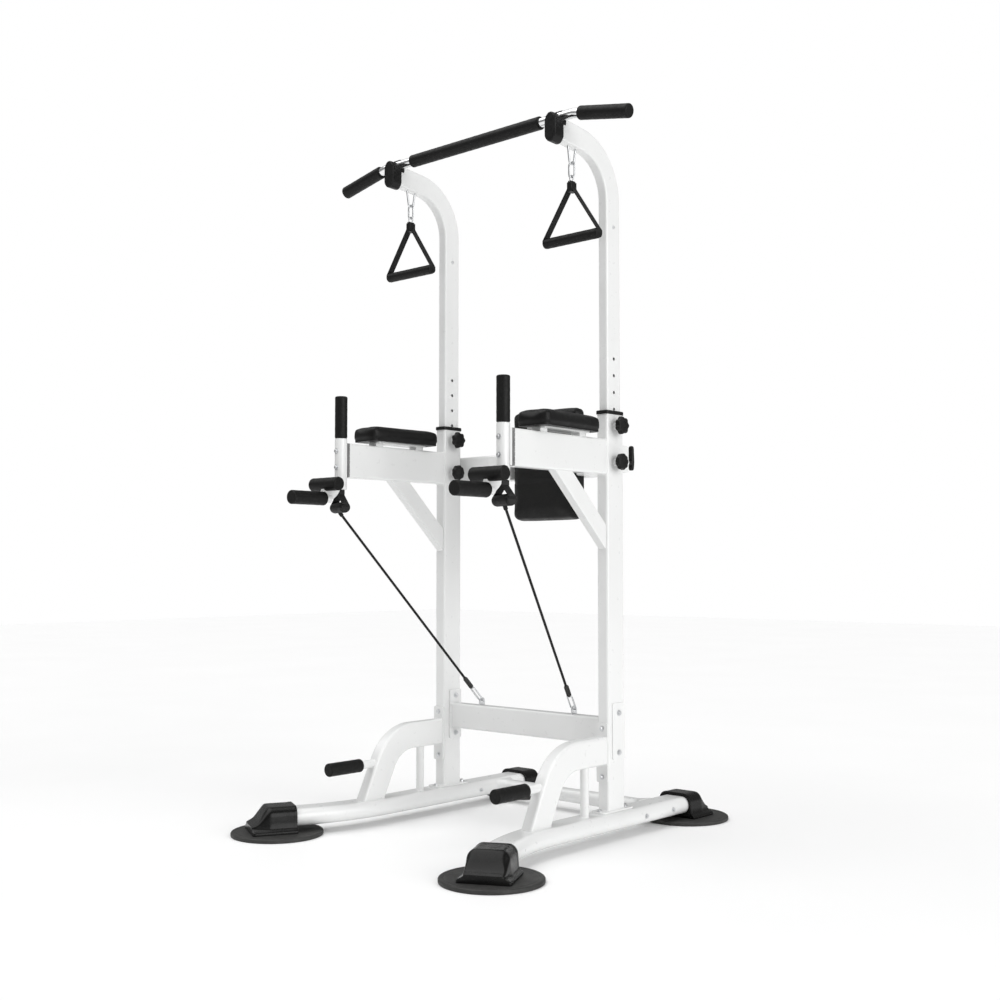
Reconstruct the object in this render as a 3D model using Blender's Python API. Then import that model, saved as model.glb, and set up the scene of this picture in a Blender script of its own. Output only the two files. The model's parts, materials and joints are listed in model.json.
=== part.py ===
"""Power tower: a free-standing pull-up, dip and push-up station, one object per physical piece.

Metres. -Y is the front, where the arms point, +X is on the right seen from there, +Z is up.
The floor is z = 0.
"""

import math

import bmesh
import bpy
from mathutils import Matrix, Vector

# Where the uprights stand. The origin is under the middle of the whole footprint.
HALF_WIDTH = 0.3324
UPRIGHT_Y = 0.12225
GAP = 0.0003
WALL = 0.002
POCKET_GAP = 0.0012

# Floor frame.
DISC_RADIUS = 0.13535
DISC_THICK = 0.012
FRONT_DISC = Vector((0.4259, -0.6255))
REAR_DISC = Vector((HALF_WIDTH, 0.3810))
RAIL_WIDTH = 0.100
RAIL_HEIGHT = 0.050
RAIL_Z = 0.0515
RAIL_BEND_Y = -0.4459
RAIL_BEND_RADIUS = 0.615
RAIL_SEAM_Y = 0.130
BOOT_TOP = 0.0865
BOOT_NECK = 0.058
BOOT_SKIRT = 0.071
BOOT_FRONT = (-0.084, -0.032, 0.048)
BOOT_REAR = (-0.058, -0.008, 0.055)
RAIL_IN_BOOT = 0.022
REAR_BAR_Y = 0.228
REAR_BAR_WIDTH = 0.054
REAR_BAR_HEIGHT = 0.042

# Uprights.
TUBE_X = 0.040
TUBE_Y = 0.080
TUBE_CORNER = 0.008
FOOT_PLATE = 0.005
UPRIGHT_TOP = 1.237
COLLAR_TOP = 1.248
COLLAR_SLEEVE = 0.015
PULL_KNOB_Z = 1.203
CLAMP_KNOB_Z = 1.096
REAR_KNOB_Z = 1.100
BOSS_LENGTH = 0.008
REAR_BOSS = 0.003
REAR_KNOB_Y = 0.107
PIN_RADIUS = 0.0047

# Mast that slides in the uprights.
MAST_X = 0.032
MAST_Y = 0.066
MAST_BOTTOM = 0.900
MAST_BEND = Vector((-0.152, 1.877))
MAST_BEND_ANGLE = math.radians(85)
MAST_FRONT_Y = -0.262
HOLE_PITCH = 0.050
HOLE_RADIUS = 0.005
HOLE_COUNT = 7
BAR_Y = -0.236
BAR_Z = 2.0727
BAR_RADIUS = 0.014
BAR_BEND_X = 0.385
BAR_END_X = 0.576
BAR_DROOP = math.radians(11.5)
FOAM_RADIUS = 0.0195
FOAM_MIDDLE_X = 0.2664
FOAM_OUTER_X = 0.398

# Hanging handles.
HANGER_Y = -0.178
HANGER_Z = 1.951
LINK_TOP_Z = 1.957
LINK_BOTTOM_Z = 1.912
HANDLE_GRIP_Z = 1.733
HANDLE_HALF = 0.100

# Dip arms.
ARM_LOW = 1.058
ARM_HIGH = 1.162
ARM_FRONT = -0.452
POST_X = 0.3290
POST_Y = -0.4725
POST_RADIUS = 0.0185
ROLLER_RADIUS = 0.0205
CROSS_ROLLER = Vector((-0.530, 1.034))
FRONT_ROLLER_Z = 0.991
PAD_TOE_OUT = math.radians(3.63)
PAD_SEAT = 1.1751

# Cross members.
BASE_BAR_Y = 0.007
BASE_BAR_LOW = 0.265
BASE_BAR_HIGH = 0.345
BACK_BAR_Y = 0.0605
BACK_BAR_LOW = 1.069
BACK_BAR_HIGH = 1.149
BACK_BAR_END = 0.347
BACK_BAR_BOW_X = 0.166
BACK_BAR_BOW_Y = 0.159
STRUT_Z = 0.255
PUSH_UP_Z = 0.183
STRUT_BEND_Y = -0.173
STRUT_BEND_RADIUS = 0.130
STRUT_FALL = math.radians(64)

# Ropes.
ROPE_EYE = Vector((0.188, 0.007, 0.358))
ROPE_TOP = Vector((0.332, -0.466, 0.944))
ROPE_RADIUS = 0.004
ROPE_START = 0.100
ROPE_GRIP_TURN = math.radians(-15)

for leftover in list(bpy.data.objects):
    bpy.data.objects.remove(leftover, do_unlink=True)

PARTS = bpy.data.collections.new("power_tower")
CUTTERS = bpy.data.collections.new("cutters")
CUTTERS.hide_render = True
bpy.context.scene.collection.children.link(PARTS)
bpy.context.scene.collection.children.link(CUTTERS)


def material(name, colour, roughness, metallic=0.0):
    made = bpy.data.materials.new(name)
    made.use_nodes = True
    shader = made.node_tree.nodes["Principled BSDF"]
    shader.inputs["Base Color"].default_value = (*colour, 1.0)
    shader.inputs["Roughness"].default_value = roughness
    shader.inputs["Metallic"].default_value = metallic
    return made


WHITE = material("white_powder_coat", (0.83, 0.84, 0.84), 0.35)
CHROME = material("polished_steel", (0.80, 0.80, 0.80), 0.18, 1.0)
FOAM = material("black_foam", (0.015, 0.015, 0.016), 0.65)
PLASTIC = material("black_plastic", (0.012, 0.012, 0.013), 0.22)
RUBBER = material("dark_rubber", (0.05, 0.05, 0.05), 0.75)
VINYL = material("black_vinyl", (0.014, 0.014, 0.015), 0.45)
GREY_RUBBER = material("grey_rubber", (0.10, 0.10, 0.11), 0.6)
WEBBING = material("black_webbing", (0.012, 0.012, 0.012), 0.85)


# Outlines, each a closed list of (u, v) that runs anticlockwise.


def circle(radius, count=16):
    turns = [2 * math.pi * step / count for step in range(count)]
    return [(radius * math.cos(turn), radius * math.sin(turn)) for turn in turns]


def rounded_rect(width, height, radius, steps=2):
    points = []
    for quarter, (side_u, side_v) in enumerate(((1, 1), (-1, 1), (-1, -1), (1, -1))):
        centre_u = side_u * (width / 2 - radius)
        centre_v = side_v * (height / 2 - radius)
        for step in range(steps + 1):
            turn = math.pi / 2 * (quarter + step / steps)
            points.append((centre_u + radius * math.cos(turn), centre_v + radius * math.sin(turn)))
    return points


def flat_oval(width, height, steps=4):
    return rounded_rect(width, height, min(width, height) / 2 - 0.0005, steps)


def star(radius, lobes, depth, per_lobe=3):
    count = lobes * per_lobe
    points = []
    for step in range(count):
        turn = 2 * math.pi * step / count
        reach = radius * (1 - depth * (1 - math.cos(lobes * turn)) / 2)
        points.append((reach * math.cos(turn), reach * math.sin(turn)))
    return points


def arc(centre, radius, start, end, steps):
    turns = [start + (end - start) * step / steps for step in range(steps + 1)]
    return [(centre[0] + radius * math.cos(turn), centre[1] + radius * math.sin(turn)) for turn in turns]


def filleted(points, radius, steps=5):
    """A path through 3-D corners, with each inner corner rounded to the centre-line radius."""
    path = [Vector(points[0])]
    for before, corner, after in zip(points, points[1:], points[2:]):
        back = (Vector(before) - Vector(corner)).normalized()
        ahead = (Vector(after) - Vector(corner)).normalized()
        half = (math.pi - back.angle(ahead)) / 2
        reach = radius * math.tan(half)
        centre = Vector(corner) + (back + ahead).normalized() * radius / math.cos(half)
        start = Vector(corner) + back * reach - centre
        axis = ahead.cross(back).normalized()
        for step in range(steps + 1):
            turn = Matrix.Rotation(2 * half * step / steps, 3, axis)
            path.append(centre + turn @ start)
    path.append(Vector(points[-1]))
    return path


# Solids, as bmesh.


def skin(shape, loops):
    """Walls between closed loops of points; returns the vertex loops."""
    rings = [[shape.verts.new(point) for point in loop] for loop in loops]
    count = len(rings[0])
    for lower, upper in zip(rings, rings[1:]):
        for step in range(count):
            after = (step + 1) % count
            shape.faces.new((lower[step], lower[after], upper[after], upper[step]))
    return rings


def loft(loops, bore=None):
    """A closed body through the loops. With bore loops it is a tube, open at both ends."""
    shape = bmesh.new()
    outer = skin(shape, loops)
    if bore is None:
        shape.faces.new(outer[0][::-1])
        shape.faces.new(outer[-1])
    else:
        inner = skin(shape, bore)
        for wall, hole in ((outer[0], inner[0]), (outer[-1], inner[-1])):
            for step in range(len(wall)):
                after = (step + 1) % len(wall)
                shape.faces.new((wall[step], wall[after], hole[after], hole[step]))
    bmesh.ops.recalc_face_normals(shape, faces=shape.faces)
    return shape


def placed(outline, origin, u_axis, v_axis):
    return [Vector(origin) + Vector(u_axis) * u + Vector(v_axis) * v for u, v in outline]


def sweep(path, side, outline, bore=None):
    """Carries an outline along a flat path. u lies in the path's plane, v along side."""
    path = [Vector(point) for point in path]
    side = Vector(side)

    def rings(section):
        loops = []
        for index, point in enumerate(path):
            back = (point - path[max(index - 1, 0)]).normalized()
            ahead = (path[min(index + 1, len(path) - 1)] - point).normalized()
            along = (back + ahead).normalized()
            stretch = 1 / math.cos(back.angle(ahead) / 2) if back.length * ahead.length > 0.5 else 1
            loops.append(placed(section, point, along.cross(side) * stretch, side))
        return loops

    return loft(rings(outline), None if bore is None else rings(bore))


def straight(start, end, side, outline, bore=None):
    return sweep((start, end), side, outline, bore)


def rod(start, end, radius, count=16):
    """A round bar between two points."""
    start, end = Vector(start), Vector(end)
    turn = (end - start).to_track_quat("Z", "Y").to_matrix().to_4x4()
    shape = bmesh.new()
    bmesh.ops.create_cone(
        shape, cap_ends=True, segments=count, radius1=radius, radius2=radius, depth=(end - start).length,
        matrix=Matrix.Translation((start + end) / 2) @ turn,
    )
    return shape


def turned(start, along, profile, count=18):
    """A round body from (distance, radius) pairs along an axis."""
    along = Vector(along).normalized()
    side = along.orthogonal().normalized()
    outline = [(profile[0][0], 0.0), *profile, (profile[-1][0], 0.0)]
    shape = bmesh.new()
    points = [shape.verts.new(Vector(start) + along * reach + side * radius) for reach, radius in outline]
    edges = [shape.edges.new(pair) for pair in zip(points, points[1:])]
    turn = 2 * math.pi
    bmesh.ops.spin(shape, geom=points + edges, cent=start, axis=along, angle=turn, steps=count, use_merge=True)
    bmesh.ops.remove_doubles(shape, verts=shape.verts, dist=0.00001)
    bmesh.ops.recalc_face_normals(shape, faces=shape.faces)
    return shape


def sleeve(start, along, length, radius, hole, blind=0.0, edge=0.004):
    """A foam grip: rounded rims, and a bore that stops short of the far end by blind."""
    profile = ((0, radius - edge), (edge, radius))
    far = tuple((length - distance, size) for distance, size in reversed(profile))
    body = turned(start, along, profile + far)
    way = Vector(along).normalized()
    begin = Vector(start) - way * 0.01
    end = Vector(start) + way * (length - blind if blind else length + 0.01)
    return body, [], [rod(begin, end, hole)]


def box(low, high):
    low, high = Vector(low), Vector(high)
    shape = bmesh.new()
    size = Matrix.Diagonal((*(high - low), 1.0))
    bmesh.ops.create_cube(shape, size=1.0, matrix=Matrix.Translation((low + high) / 2) @ size)
    return shape


def slab(outline, x_low, x_high):
    """A plate from a (y, z) outline, thick along X."""
    return loft([[Vector((x, y, z)) for y, z in outline] for x in (x_low, x_high)])


def plate(centre, width_y, height_z, thick, radius=0.006):
    """A rounded plate that lies against an upright's side, thick along X."""
    outline = rounded_rect(width_y, height_z, radius)
    faces = [Vector(centre) + Vector((shift, 0, 0)) for shift in (0, thick)]
    loops = [placed(outline, face, (0, 1, 0), (0, 0, 1)) for face in faces]
    return loft(loops)


def cushion(width, length, thick, corner, edge):
    """A block with a rounded plan and rounded rims, centred at its bottom, length along Y."""
    loops = []
    for turn, level in ((0, 0.0), (1, 0.3), (2, 1.0)):
        inset = edge * (1 - math.sin(math.pi / 4 * turn))
        outline = rounded_rect(width - 2 * inset, length - 2 * inset, corner - inset * 0.5, 4)
        loops.append((outline, edge * level))
    loops += [(outline, thick - height) for outline, height in reversed(loops)]
    return loft([[Vector((u, v, height)) for u, v in outline] for outline, height in loops])


def moved(shape, matrix):
    bmesh.ops.transform(shape, matrix=matrix, verts=shape.verts)
    return shape


def mirrored(shape):
    other = shape.copy()
    bmesh.ops.transform(other, matrix=Matrix.Scale(-1, 4, (1, 0, 0)), verts=other.verts)
    bmesh.ops.reverse_faces(other, faces=other.faces)
    return other


# Objects.


def to_object(name, shape, collection, pivot):
    shift = Matrix.Translation(-Vector(pivot))
    bmesh.ops.transform(shape, matrix=shift, verts=shape.verts)
    mesh = bpy.data.meshes.new(name)
    shape.to_mesh(mesh)
    shape.free()
    made = bpy.data.objects.new(name, mesh)
    made.location = Vector(pivot) + Vector((0, UPRIGHT_Y, 0))
    collection.objects.link(made)
    return made


def add_node(name, pieces, surface, pivot=(0, 0, 0), smooth=True):
    """pieces is (body, joined shapes, cut shapes), all in the uprights' coordinates."""
    body, joins, cuts = pieces
    made = to_object(name, body, PARTS, pivot)
    made.data.materials.append(surface)
    if smooth:
        made.data.shade_smooth()
        made.data.set_sharp_from_angle(angle=math.radians(35))
    for operation, tools in (("UNION", joins), ("DIFFERENCE", cuts)):
        for index, tool in enumerate(tools):
            helper = to_object(f"{name}_{operation.lower()}_{index}", tool, CUTTERS, pivot)
            helper.hide_render = True
            helper.display_type = "WIRE"
            step = made.modifiers.new(helper.name, "BOOLEAN")
            step.operation = operation
            step.solver = "EXACT"
            step.object = helper
    return made


def add_pair(name, build, surface, pivot=(0, 0, 0)):
    """One node on the right as built, and its mirror image on the left."""
    body, joins, cuts = build()
    left = mirrored(body), [mirrored(shape) for shape in joins], [mirrored(shape) for shape in cuts]
    add_node(f"{name}_right", (body, joins, cuts), surface, pivot)
    add_node(f"{name}_left", left, surface, (-pivot[0], pivot[1], pivot[2]))


def add_both(name, build, surface, pivot):
    """The same piece on both sides, facing the same way: build takes the upright's x."""
    for side, sign in (("right", 1), ("left", -1)):
        centre = sign * HALF_WIDTH
        add_node(f"{name}_{side}", build(centre), surface, (centre + pivot[0], pivot[1], pivot[2]))


# Floor frame.


def rail_direction():
    return (FRONT_DISC - Vector((HALF_WIDTH, RAIL_BEND_Y))).normalized()


def disc(centre):
    edge = DISC_RADIUS - 0.002
    profile = ((0, edge), (0.002, DISC_RADIUS), (0.010, DISC_RADIUS), (DISC_THICK, edge))
    return turned((centre.x, centre.y, 0), (0, 0, 1), profile, 40), [], []


def boot_outline(neck, skirt, height):
    """Half of a boot's cross-section above the disc, from the skirt up to the top's edge."""
    shoulder = min(0.024, (height - 0.018) * 0.6)
    side = [(skirt, 0.0), (skirt, 0.008), (neck + 0.004, 0.013), (neck, 0.020)]
    side += [(neck - shoulder * 0.10, height - shoulder), (neck - shoulder * 0.45, height - shoulder * 0.30)]
    return side + [(neck - shoulder * 0.95, height)]


def boot(centre, direction, lengths):
    """A moulded cap on a rail's end. lengths are where its nose, its crest and its mouth are."""
    nose, crest, mouth = lengths
    base = DISC_THICK + GAP
    top = BOOT_TOP - base
    slope = crest - nose
    stations = (
        (nose, 0.050, 0.067, 0.021),
        (nose + 0.005, 0.053, BOOT_SKIRT, 0.024),
        (nose + slope * 0.30, 0.055, BOOT_SKIRT, 0.033),
        (nose + slope * 0.60, 0.057, BOOT_SKIRT, top * 0.70),
        (nose + slope * 0.85, BOOT_NECK, BOOT_SKIRT, top * 0.92),
        (crest, BOOT_NECK, BOOT_SKIRT, top),
        (mouth, BOOT_NECK, BOOT_SKIRT, top),
    )
    across = Vector((-direction.y, direction.x, 0))
    along = Vector((direction.x, direction.y, 0))
    loops = []
    for place, neck, skirt, height in stations:
        half = boot_outline(neck, skirt, height)
        outline = half + [(-u, v) for u, v in reversed(half)]
        origin = Vector((centre.x, centre.y, base)) - along * place
        loops.append(placed(outline, origin, across, (0, 0, 1)))
    start = Vector((centre.x, centre.y, RAIL_Z)) - along * (RAIL_IN_BOOT - 0.0015)
    end = Vector((centre.x, centre.y, RAIL_Z)) - along * (mouth + 0.02)
    pocket = flat_oval(RAIL_WIDTH + 2 * POCKET_GAP, RAIL_HEIGHT + 2 * GAP)
    return loft(loops), [], [straight(start, end, (0, 0, 1), pocket)]


def oval_tube(path):
    outline = flat_oval(RAIL_WIDTH, RAIL_HEIGHT)
    bore = flat_oval(RAIL_WIDTH - 2 * WALL, RAIL_HEIGHT - 2 * WALL)
    return sweep(path, (0, 0, 1), outline, bore)


def floor_rail():
    """Straight under the upright, then one long bend outward into the front boot."""
    end = FRONT_DISC - rail_direction() * RAIL_IN_BOOT
    corners = ((HALF_WIDTH, RAIL_SEAM_Y - GAP), (HALF_WIDTH, RAIL_BEND_Y), tuple(end))
    path = filleted([(x, y, RAIL_Z) for x, y in corners], RAIL_BEND_RADIUS, 8)
    return oval_tube(path), [], []


def rear_frame():
    """Two legs and the cross tube between them, hollow all through."""
    end = REAR_DISC.y - RAIL_IN_BOOT
    half = HALF_WIDTH - 0.02
    solids = []
    hollows = []
    for sign in (1, -1):
        leg = ((sign * HALF_WIDTH, RAIL_SEAM_Y, RAIL_Z), (sign * HALF_WIDTH, end, RAIL_Z))
        solids.append(straight(*leg, (0, 0, 1), flat_oval(RAIL_WIDTH, RAIL_HEIGHT)))
        longer = ((leg[0][0], RAIL_SEAM_Y - 0.01, RAIL_Z), (leg[0][0], end + 0.01, RAIL_Z))
        hollows.append(straight(*longer, (0, 0, 1), flat_oval(RAIL_WIDTH - 2 * WALL, RAIL_HEIGHT - 2 * WALL)))
    bar = ((-half, REAR_BAR_Y, RAIL_Z), (half, REAR_BAR_Y, RAIL_Z))
    body = straight(*bar, (0, 0, 1), flat_oval(REAR_BAR_WIDTH, REAR_BAR_HEIGHT))
    inner = flat_oval(REAR_BAR_WIDTH - 2 * WALL, REAR_BAR_HEIGHT - 2 * WALL)
    hollows.append(straight(*bar, (0, 0, 1), inner))
    return body, solids, hollows


def strut():
    """Flange on the upright, tube that bends down to the rail, thin post and grip stub."""
    face = -TUBE_Y / 2 - GAP
    low = RAIL_Z + RAIL_HEIGHT / 2 + GAP
    fall = Vector((0, -math.cos(STRUT_FALL), -math.sin(STRUT_FALL)))
    corner = Vector((HALF_WIDTH, STRUT_BEND_Y - STRUT_BEND_RADIUS * math.tan(STRUT_FALL / 2), STRUT_Z))
    foot = corner + fall * ((corner.z - low + 0.04) / -fall.z)
    path = filleted(((HALF_WIDTH, face - 0.002, STRUT_Z), corner, foot), STRUT_BEND_RADIUS, 6)
    tube = sweep(path, (1, 0, 0), rounded_rect(TUBE_Y, TUBE_X, TUBE_CORNER))
    hollow_path = [path[0] + Vector((0, -0.004, 0))] + path[1:]
    hollow = sweep(hollow_path, (1, 0, 0), rounded_rect(TUBE_Y - 2 * WALL, TUBE_X - 2 * WALL, TUBE_CORNER - WALL))
    under = box((HALF_WIDTH - 0.1, -0.6, low - 0.15), (HALF_WIDTH + 0.1, -0.2, low))
    flange = loft([
        placed(rounded_rect(TUBE_X, 0.172, 0.006), (HALF_WIDTH, face - shift, 0.249), (1, 0, 0), (0, 0, 1))
        for shift in (0, 0.005)
    ])
    post = rod((HALF_WIDTH, -0.128, low), (HALF_WIDTH, -0.128, STRUT_Z - TUBE_Y / 2 + 0.001), 0.0125)
    stub = rod((HALF_WIDTH, -0.310, PUSH_UP_Z), (HALF_WIDTH, -0.505, PUSH_UP_Z), 0.0125)
    return tube, [flange, post, stub], [hollow, under]


def push_up_grip():
    return sleeve((HALF_WIDTH, -0.384, PUSH_UP_Z), (0, -1, 0), 0.128, 0.020, 0.0125 + GAP, blind=0.006)


# Uprights.


def tube_loops(centre, levels, width, depth, corner):
    outline = rounded_rect(width, depth, corner)
    return [placed(outline, (centre, 0, level), (1, 0, 0), (0, 1, 0)) for level in levels]


def lower_upright(centre):
    """Tube, foot plate, stiffening plate and knob bosses. The bosses face +X on both sides."""
    sign = 1 if centre > 0 else -1
    low = RAIL_Z + RAIL_HEIGHT / 2 + GAP
    levels = (low + FOOT_PLATE / 2, UPRIGHT_TOP)
    inner_levels = (levels[0] + 0.002, UPRIGHT_TOP)
    inner = tube_loops(centre, inner_levels, TUBE_X - 2 * WALL, TUBE_Y - 2 * WALL, TUBE_CORNER - WALL)
    tube = loft(tube_loops(centre, levels, TUBE_X, TUBE_Y, TUBE_CORNER), inner)
    foot = loft([
        placed(rounded_rect(0.050, 0.150, 0.012), (centre, 0.004, level), (1, 0, 0), (0, 1, 0))
        for level in (low, low + FOOT_PLATE)
    ])
    outer = centre + sign * (TUBE_X / 2 - 0.0005)
    joins = [foot, plate((outer, BASE_BAR_Y, 0.3085), 0.059, 0.163, sign * 0.0035)]
    cuts = []
    face = centre + TUBE_X / 2
    for height in (PULL_KNOB_Z, CLAMP_KNOB_Z):
        joins.append(rod((face - 0.001, 0, height), (face + BOSS_LENGTH, 0, height), 0.011))
        cuts.append(rod((face - 0.006, 0, height), (face + 0.02, 0, height), PIN_RADIUS + GAP))
    rear = TUBE_Y / 2
    cuts.append(rod((centre, rear - 0.006, REAR_KNOB_Z), (centre, rear + 0.02, REAR_KNOB_Z), PIN_RADIUS + GAP))
    return tube, joins, cuts


def collar(centre):
    """Flange on the tube's top and a sleeve down inside it, with the mast's clear hole."""
    slim = tube_loops(centre, (UPRIGHT_TOP - COLLAR_SLEEVE, UPRIGHT_TOP + GAP), TUBE_X - 2 * WALL - 2 * GAP,
                      TUBE_Y - 2 * WALL - 2 * GAP, TUBE_CORNER - WALL)
    wide = tube_loops(centre, (UPRIGHT_TOP + GAP, COLLAR_TOP - 0.002), 0.044, 0.086, TUBE_CORNER)
    top = tube_loops(centre, (COLLAR_TOP,), 0.042, 0.084, TUBE_CORNER - 0.001)
    bore = tube_loops(centre, (UPRIGHT_TOP - COLLAR_SLEEVE, COLLAR_TOP), MAST_X + 2 * GAP, MAST_Y + 2 * GAP, 0.0063)
    return loft(slim + wide + top, bore), [], []


def knob(centre, height, outline, thick):
    """A moulded head on a pin that reaches the tube's inner wall."""
    face = centre + TUBE_X / 2 + BOSS_LENGTH
    head = []
    for shift, scale in ((0, 0.45), (0.006, 0.60), (0.010, 1.0), (thick - 0.004, 1.0), (thick, 0.86)):
        scaled = [(u * scale, v * scale) for u, v in outline]
        head.append(placed(scaled, (face + GAP + shift, 0, height), (0, 1, 0), (0, 0, 1)))
    pin = rod((centre + MAST_X / 2 + 0.0005, 0, height), (face + 0.002, 0, height), PIN_RADIUS)
    return loft(head), [pin], []


def rear_knob(centre):
    """A bar-shaped screw with a slim waist that holds the back frame to an upright."""
    stations = (
        (0, 0.0050, 0.0040),
        (0.006, 0.0085, 0.0062),
        (0.018, 0.0088, 0.0070),
        (0.034, 0.0085, 0.0075),
        (0.058, 0.0085, 0.0062),
        (0.069, 0.0080, 0.0055),
        (0.074, 0.0050, 0.0035),
    )
    loops = []
    for level, half_x, half_y in stations:
        outline = rounded_rect(half_x * 2, half_y * 2, half_y * 0.6)
        loops.append(placed(outline, (centre, REAR_KNOB_Y, 1.078 + level), (1, 0, 0), (0, 1, 0)))
    face = BACK_BAR_Y + 0.020 + REAR_BOSS + GAP
    hub = rod((centre, face, REAR_KNOB_Z), (centre, REAR_KNOB_Y - 0.002, REAR_KNOB_Z), 0.0085)
    pin = rod((centre, MAST_Y / 2 + 0.0055, REAR_KNOB_Z), (centre, REAR_KNOB_Y - 0.004, REAR_KNOB_Z), PIN_RADIUS)
    return loft(loops), [hub, pin], []


# Mast.


def mast_path(centre):
    path = [(centre, 0, MAST_BOTTOM)]
    bend = -MAST_BEND.x
    for y, z in arc(MAST_BEND, bend, 0, MAST_BEND_ANGLE, 8):
        path.append((centre, y, z))
    last = path[-1]
    run = last[1] - MAST_FRONT_Y
    path.append((centre, MAST_FRONT_Y, last[2] + run / math.tan(MAST_BEND_ANGLE)))
    return path


def hanger(centre):
    """The welded bail under the tube's front, in the plane of the tube."""
    top = mast_height(HANGER_Y) - MAST_Y / 2 + 0.004
    corners = (
        (centre, HANGER_Y + 0.018, top),
        (centre, HANGER_Y + 0.009, HANGER_Z),
        (centre, HANGER_Y - 0.009, HANGER_Z),
        (centre, HANGER_Y - 0.018, top),
    )
    return sweep(filleted(corners, 0.006, 4), (1, 0, 0), circle(0.003, 12))


def mast_height(y):
    """Height of the tube's centre line on its forward run."""
    last = mast_path(0)[-2]
    return last[2] + (last[1] - y) / math.tan(MAST_BEND_ANGLE)


def mast_tube(centre):
    outline = rounded_rect(MAST_Y, MAST_X, 0.006)
    bore = rounded_rect(MAST_Y - 2 * WALL, MAST_X - 2 * WALL, 0.004)
    tube = sweep(mast_path(centre), (1, 0, 0), outline, bore)
    cuts = [rod((centre - 0.05, BAR_Y, BAR_Z), (centre + 0.05, BAR_Y, BAR_Z), BAR_RADIUS + GAP)]
    face = centre + MAST_X / 2
    for step in range(HOLE_COUNT):
        height = PULL_KNOB_Z + HOLE_PITCH * (step - HOLE_COUNT // 2 + 1)
        cuts.append(rod((face - 0.006, 0, height), (face + 0.006, 0, height), HOLE_RADIUS, 10))
    return tube, [hanger(centre)], cuts


def pull_up_bar():
    droop = (BAR_END_X - BAR_BEND_X) * math.tan(BAR_DROOP)
    corners = (
        (-BAR_END_X, BAR_Y, BAR_Z - droop),
        (-BAR_BEND_X, BAR_Y, BAR_Z),
        (BAR_BEND_X, BAR_Y, BAR_Z),
        (BAR_END_X, BAR_Y, BAR_Z - droop),
    )
    path = filleted(corners, 0.05, 3)
    return sweep(path, (0, 1, 0), circle(BAR_RADIUS, 20), circle(BAR_RADIUS - WALL, 20)), [], []


def bar_foam():
    way = Vector((math.cos(BAR_DROOP), 0, -math.sin(BAR_DROOP)))
    start = Vector((BAR_BEND_X, BAR_Y, BAR_Z)) + way * ((FOAM_OUTER_X - BAR_BEND_X) / way.x)
    length = (BAR_END_X + 0.006 - FOAM_OUTER_X) / way.x
    return sleeve(start, way, length, FOAM_RADIUS + 0.0005, BAR_RADIUS + GAP, blind=0.0055)


def bar_foam_middle():
    return sleeve((-FOAM_MIDDLE_X, BAR_Y, BAR_Z), (1, 0, 0), 2 * FOAM_MIDDLE_X, FOAM_RADIUS, BAR_RADIUS + GAP)


def bar_cap(centre):
    """The black end piece over the tube's front, which also holds the bar down in its notch."""
    middle = Vector((centre, -0.2575, 2.038))
    loops = []
    stations = ((-0.0395, 0.026, 0.078), (-0.027, 0.042, 0.104), (0.027, 0.042, 0.108), (0.0395, 0.036, 0.100))
    for shift, width, height in stations:
        half_u, half_v = width / 2, height / 2
        cut = min(0.010, half_u * 0.7)
        side_v = half_v - 0.017
        outline = [(half_u, -side_v), (half_u, side_v), (half_u - cut, half_v), (-half_u + cut, half_v)]
        outline += [(-u, -v) for u, v in outline]
        loops.append(placed(outline, middle + Vector((0, shift, 0)), (1, 0, 0), (0, 0, 1)))
    path = mast_path(centre)
    start = Vector(path[-2])
    end = Vector(path[-1])
    end += (end - start).normalized() * 0.001
    pocket = straight(start, end, (1, 0, 0), rounded_rect(MAST_Y + 2 * GAP, MAST_X + 2 * GAP, 0.006))
    bar = rod((centre - 0.06, BAR_Y, BAR_Z), (centre + 0.06, BAR_Y, BAR_Z), BAR_RADIUS + GAP)
    return loft(loops), [], [pocket, bar]


# Hanging handles.


def ring(top, bottom, across, width, radius):
    """A closed oval loop of round wire between two wire centres."""
    top, bottom, across = Vector(top), Vector(bottom), Vector(across).normalized()
    along = (top - bottom).normalized()
    bend = width / 2
    middle = (top + bottom) / 2
    straight_half = (top - bottom).length / 2 - bend
    normal = across.cross(along)
    loops = []
    for centre, start in ((middle + along * straight_half, 0), (middle - along * straight_half, math.pi)):
        for step in range(7):
            turn = start + math.pi * step / 6
            out = across * math.cos(turn) + along * math.sin(turn)
            loops.append(placed(circle(radius, 8), centre + out * bend, out, normal))
    shape = bmesh.new()
    rings = skin(shape, loops)
    count = len(rings[0])
    for step in range(count):
        after = (step + 1) % count
        shape.faces.new((rings[-1][step], rings[-1][after], rings[0][after], rings[0][step]))
    bmesh.ops.recalc_face_normals(shape, faces=shape.faces)
    return shape


def handle_link(centre):
    link = ring((centre, HANGER_Y, LINK_TOP_Z), (centre, HANGER_Y, LINK_BOTTOM_Z), (1, 0, 0), 0.020, 0.0025)
    return link, [], []


def strap(start, end, width, thick):
    """A strip of webbing between two points, wide along Y."""
    return straight(start, end, (0, 1, 0), rounded_rect(thick, width, thick * 0.4, 2))


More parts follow.
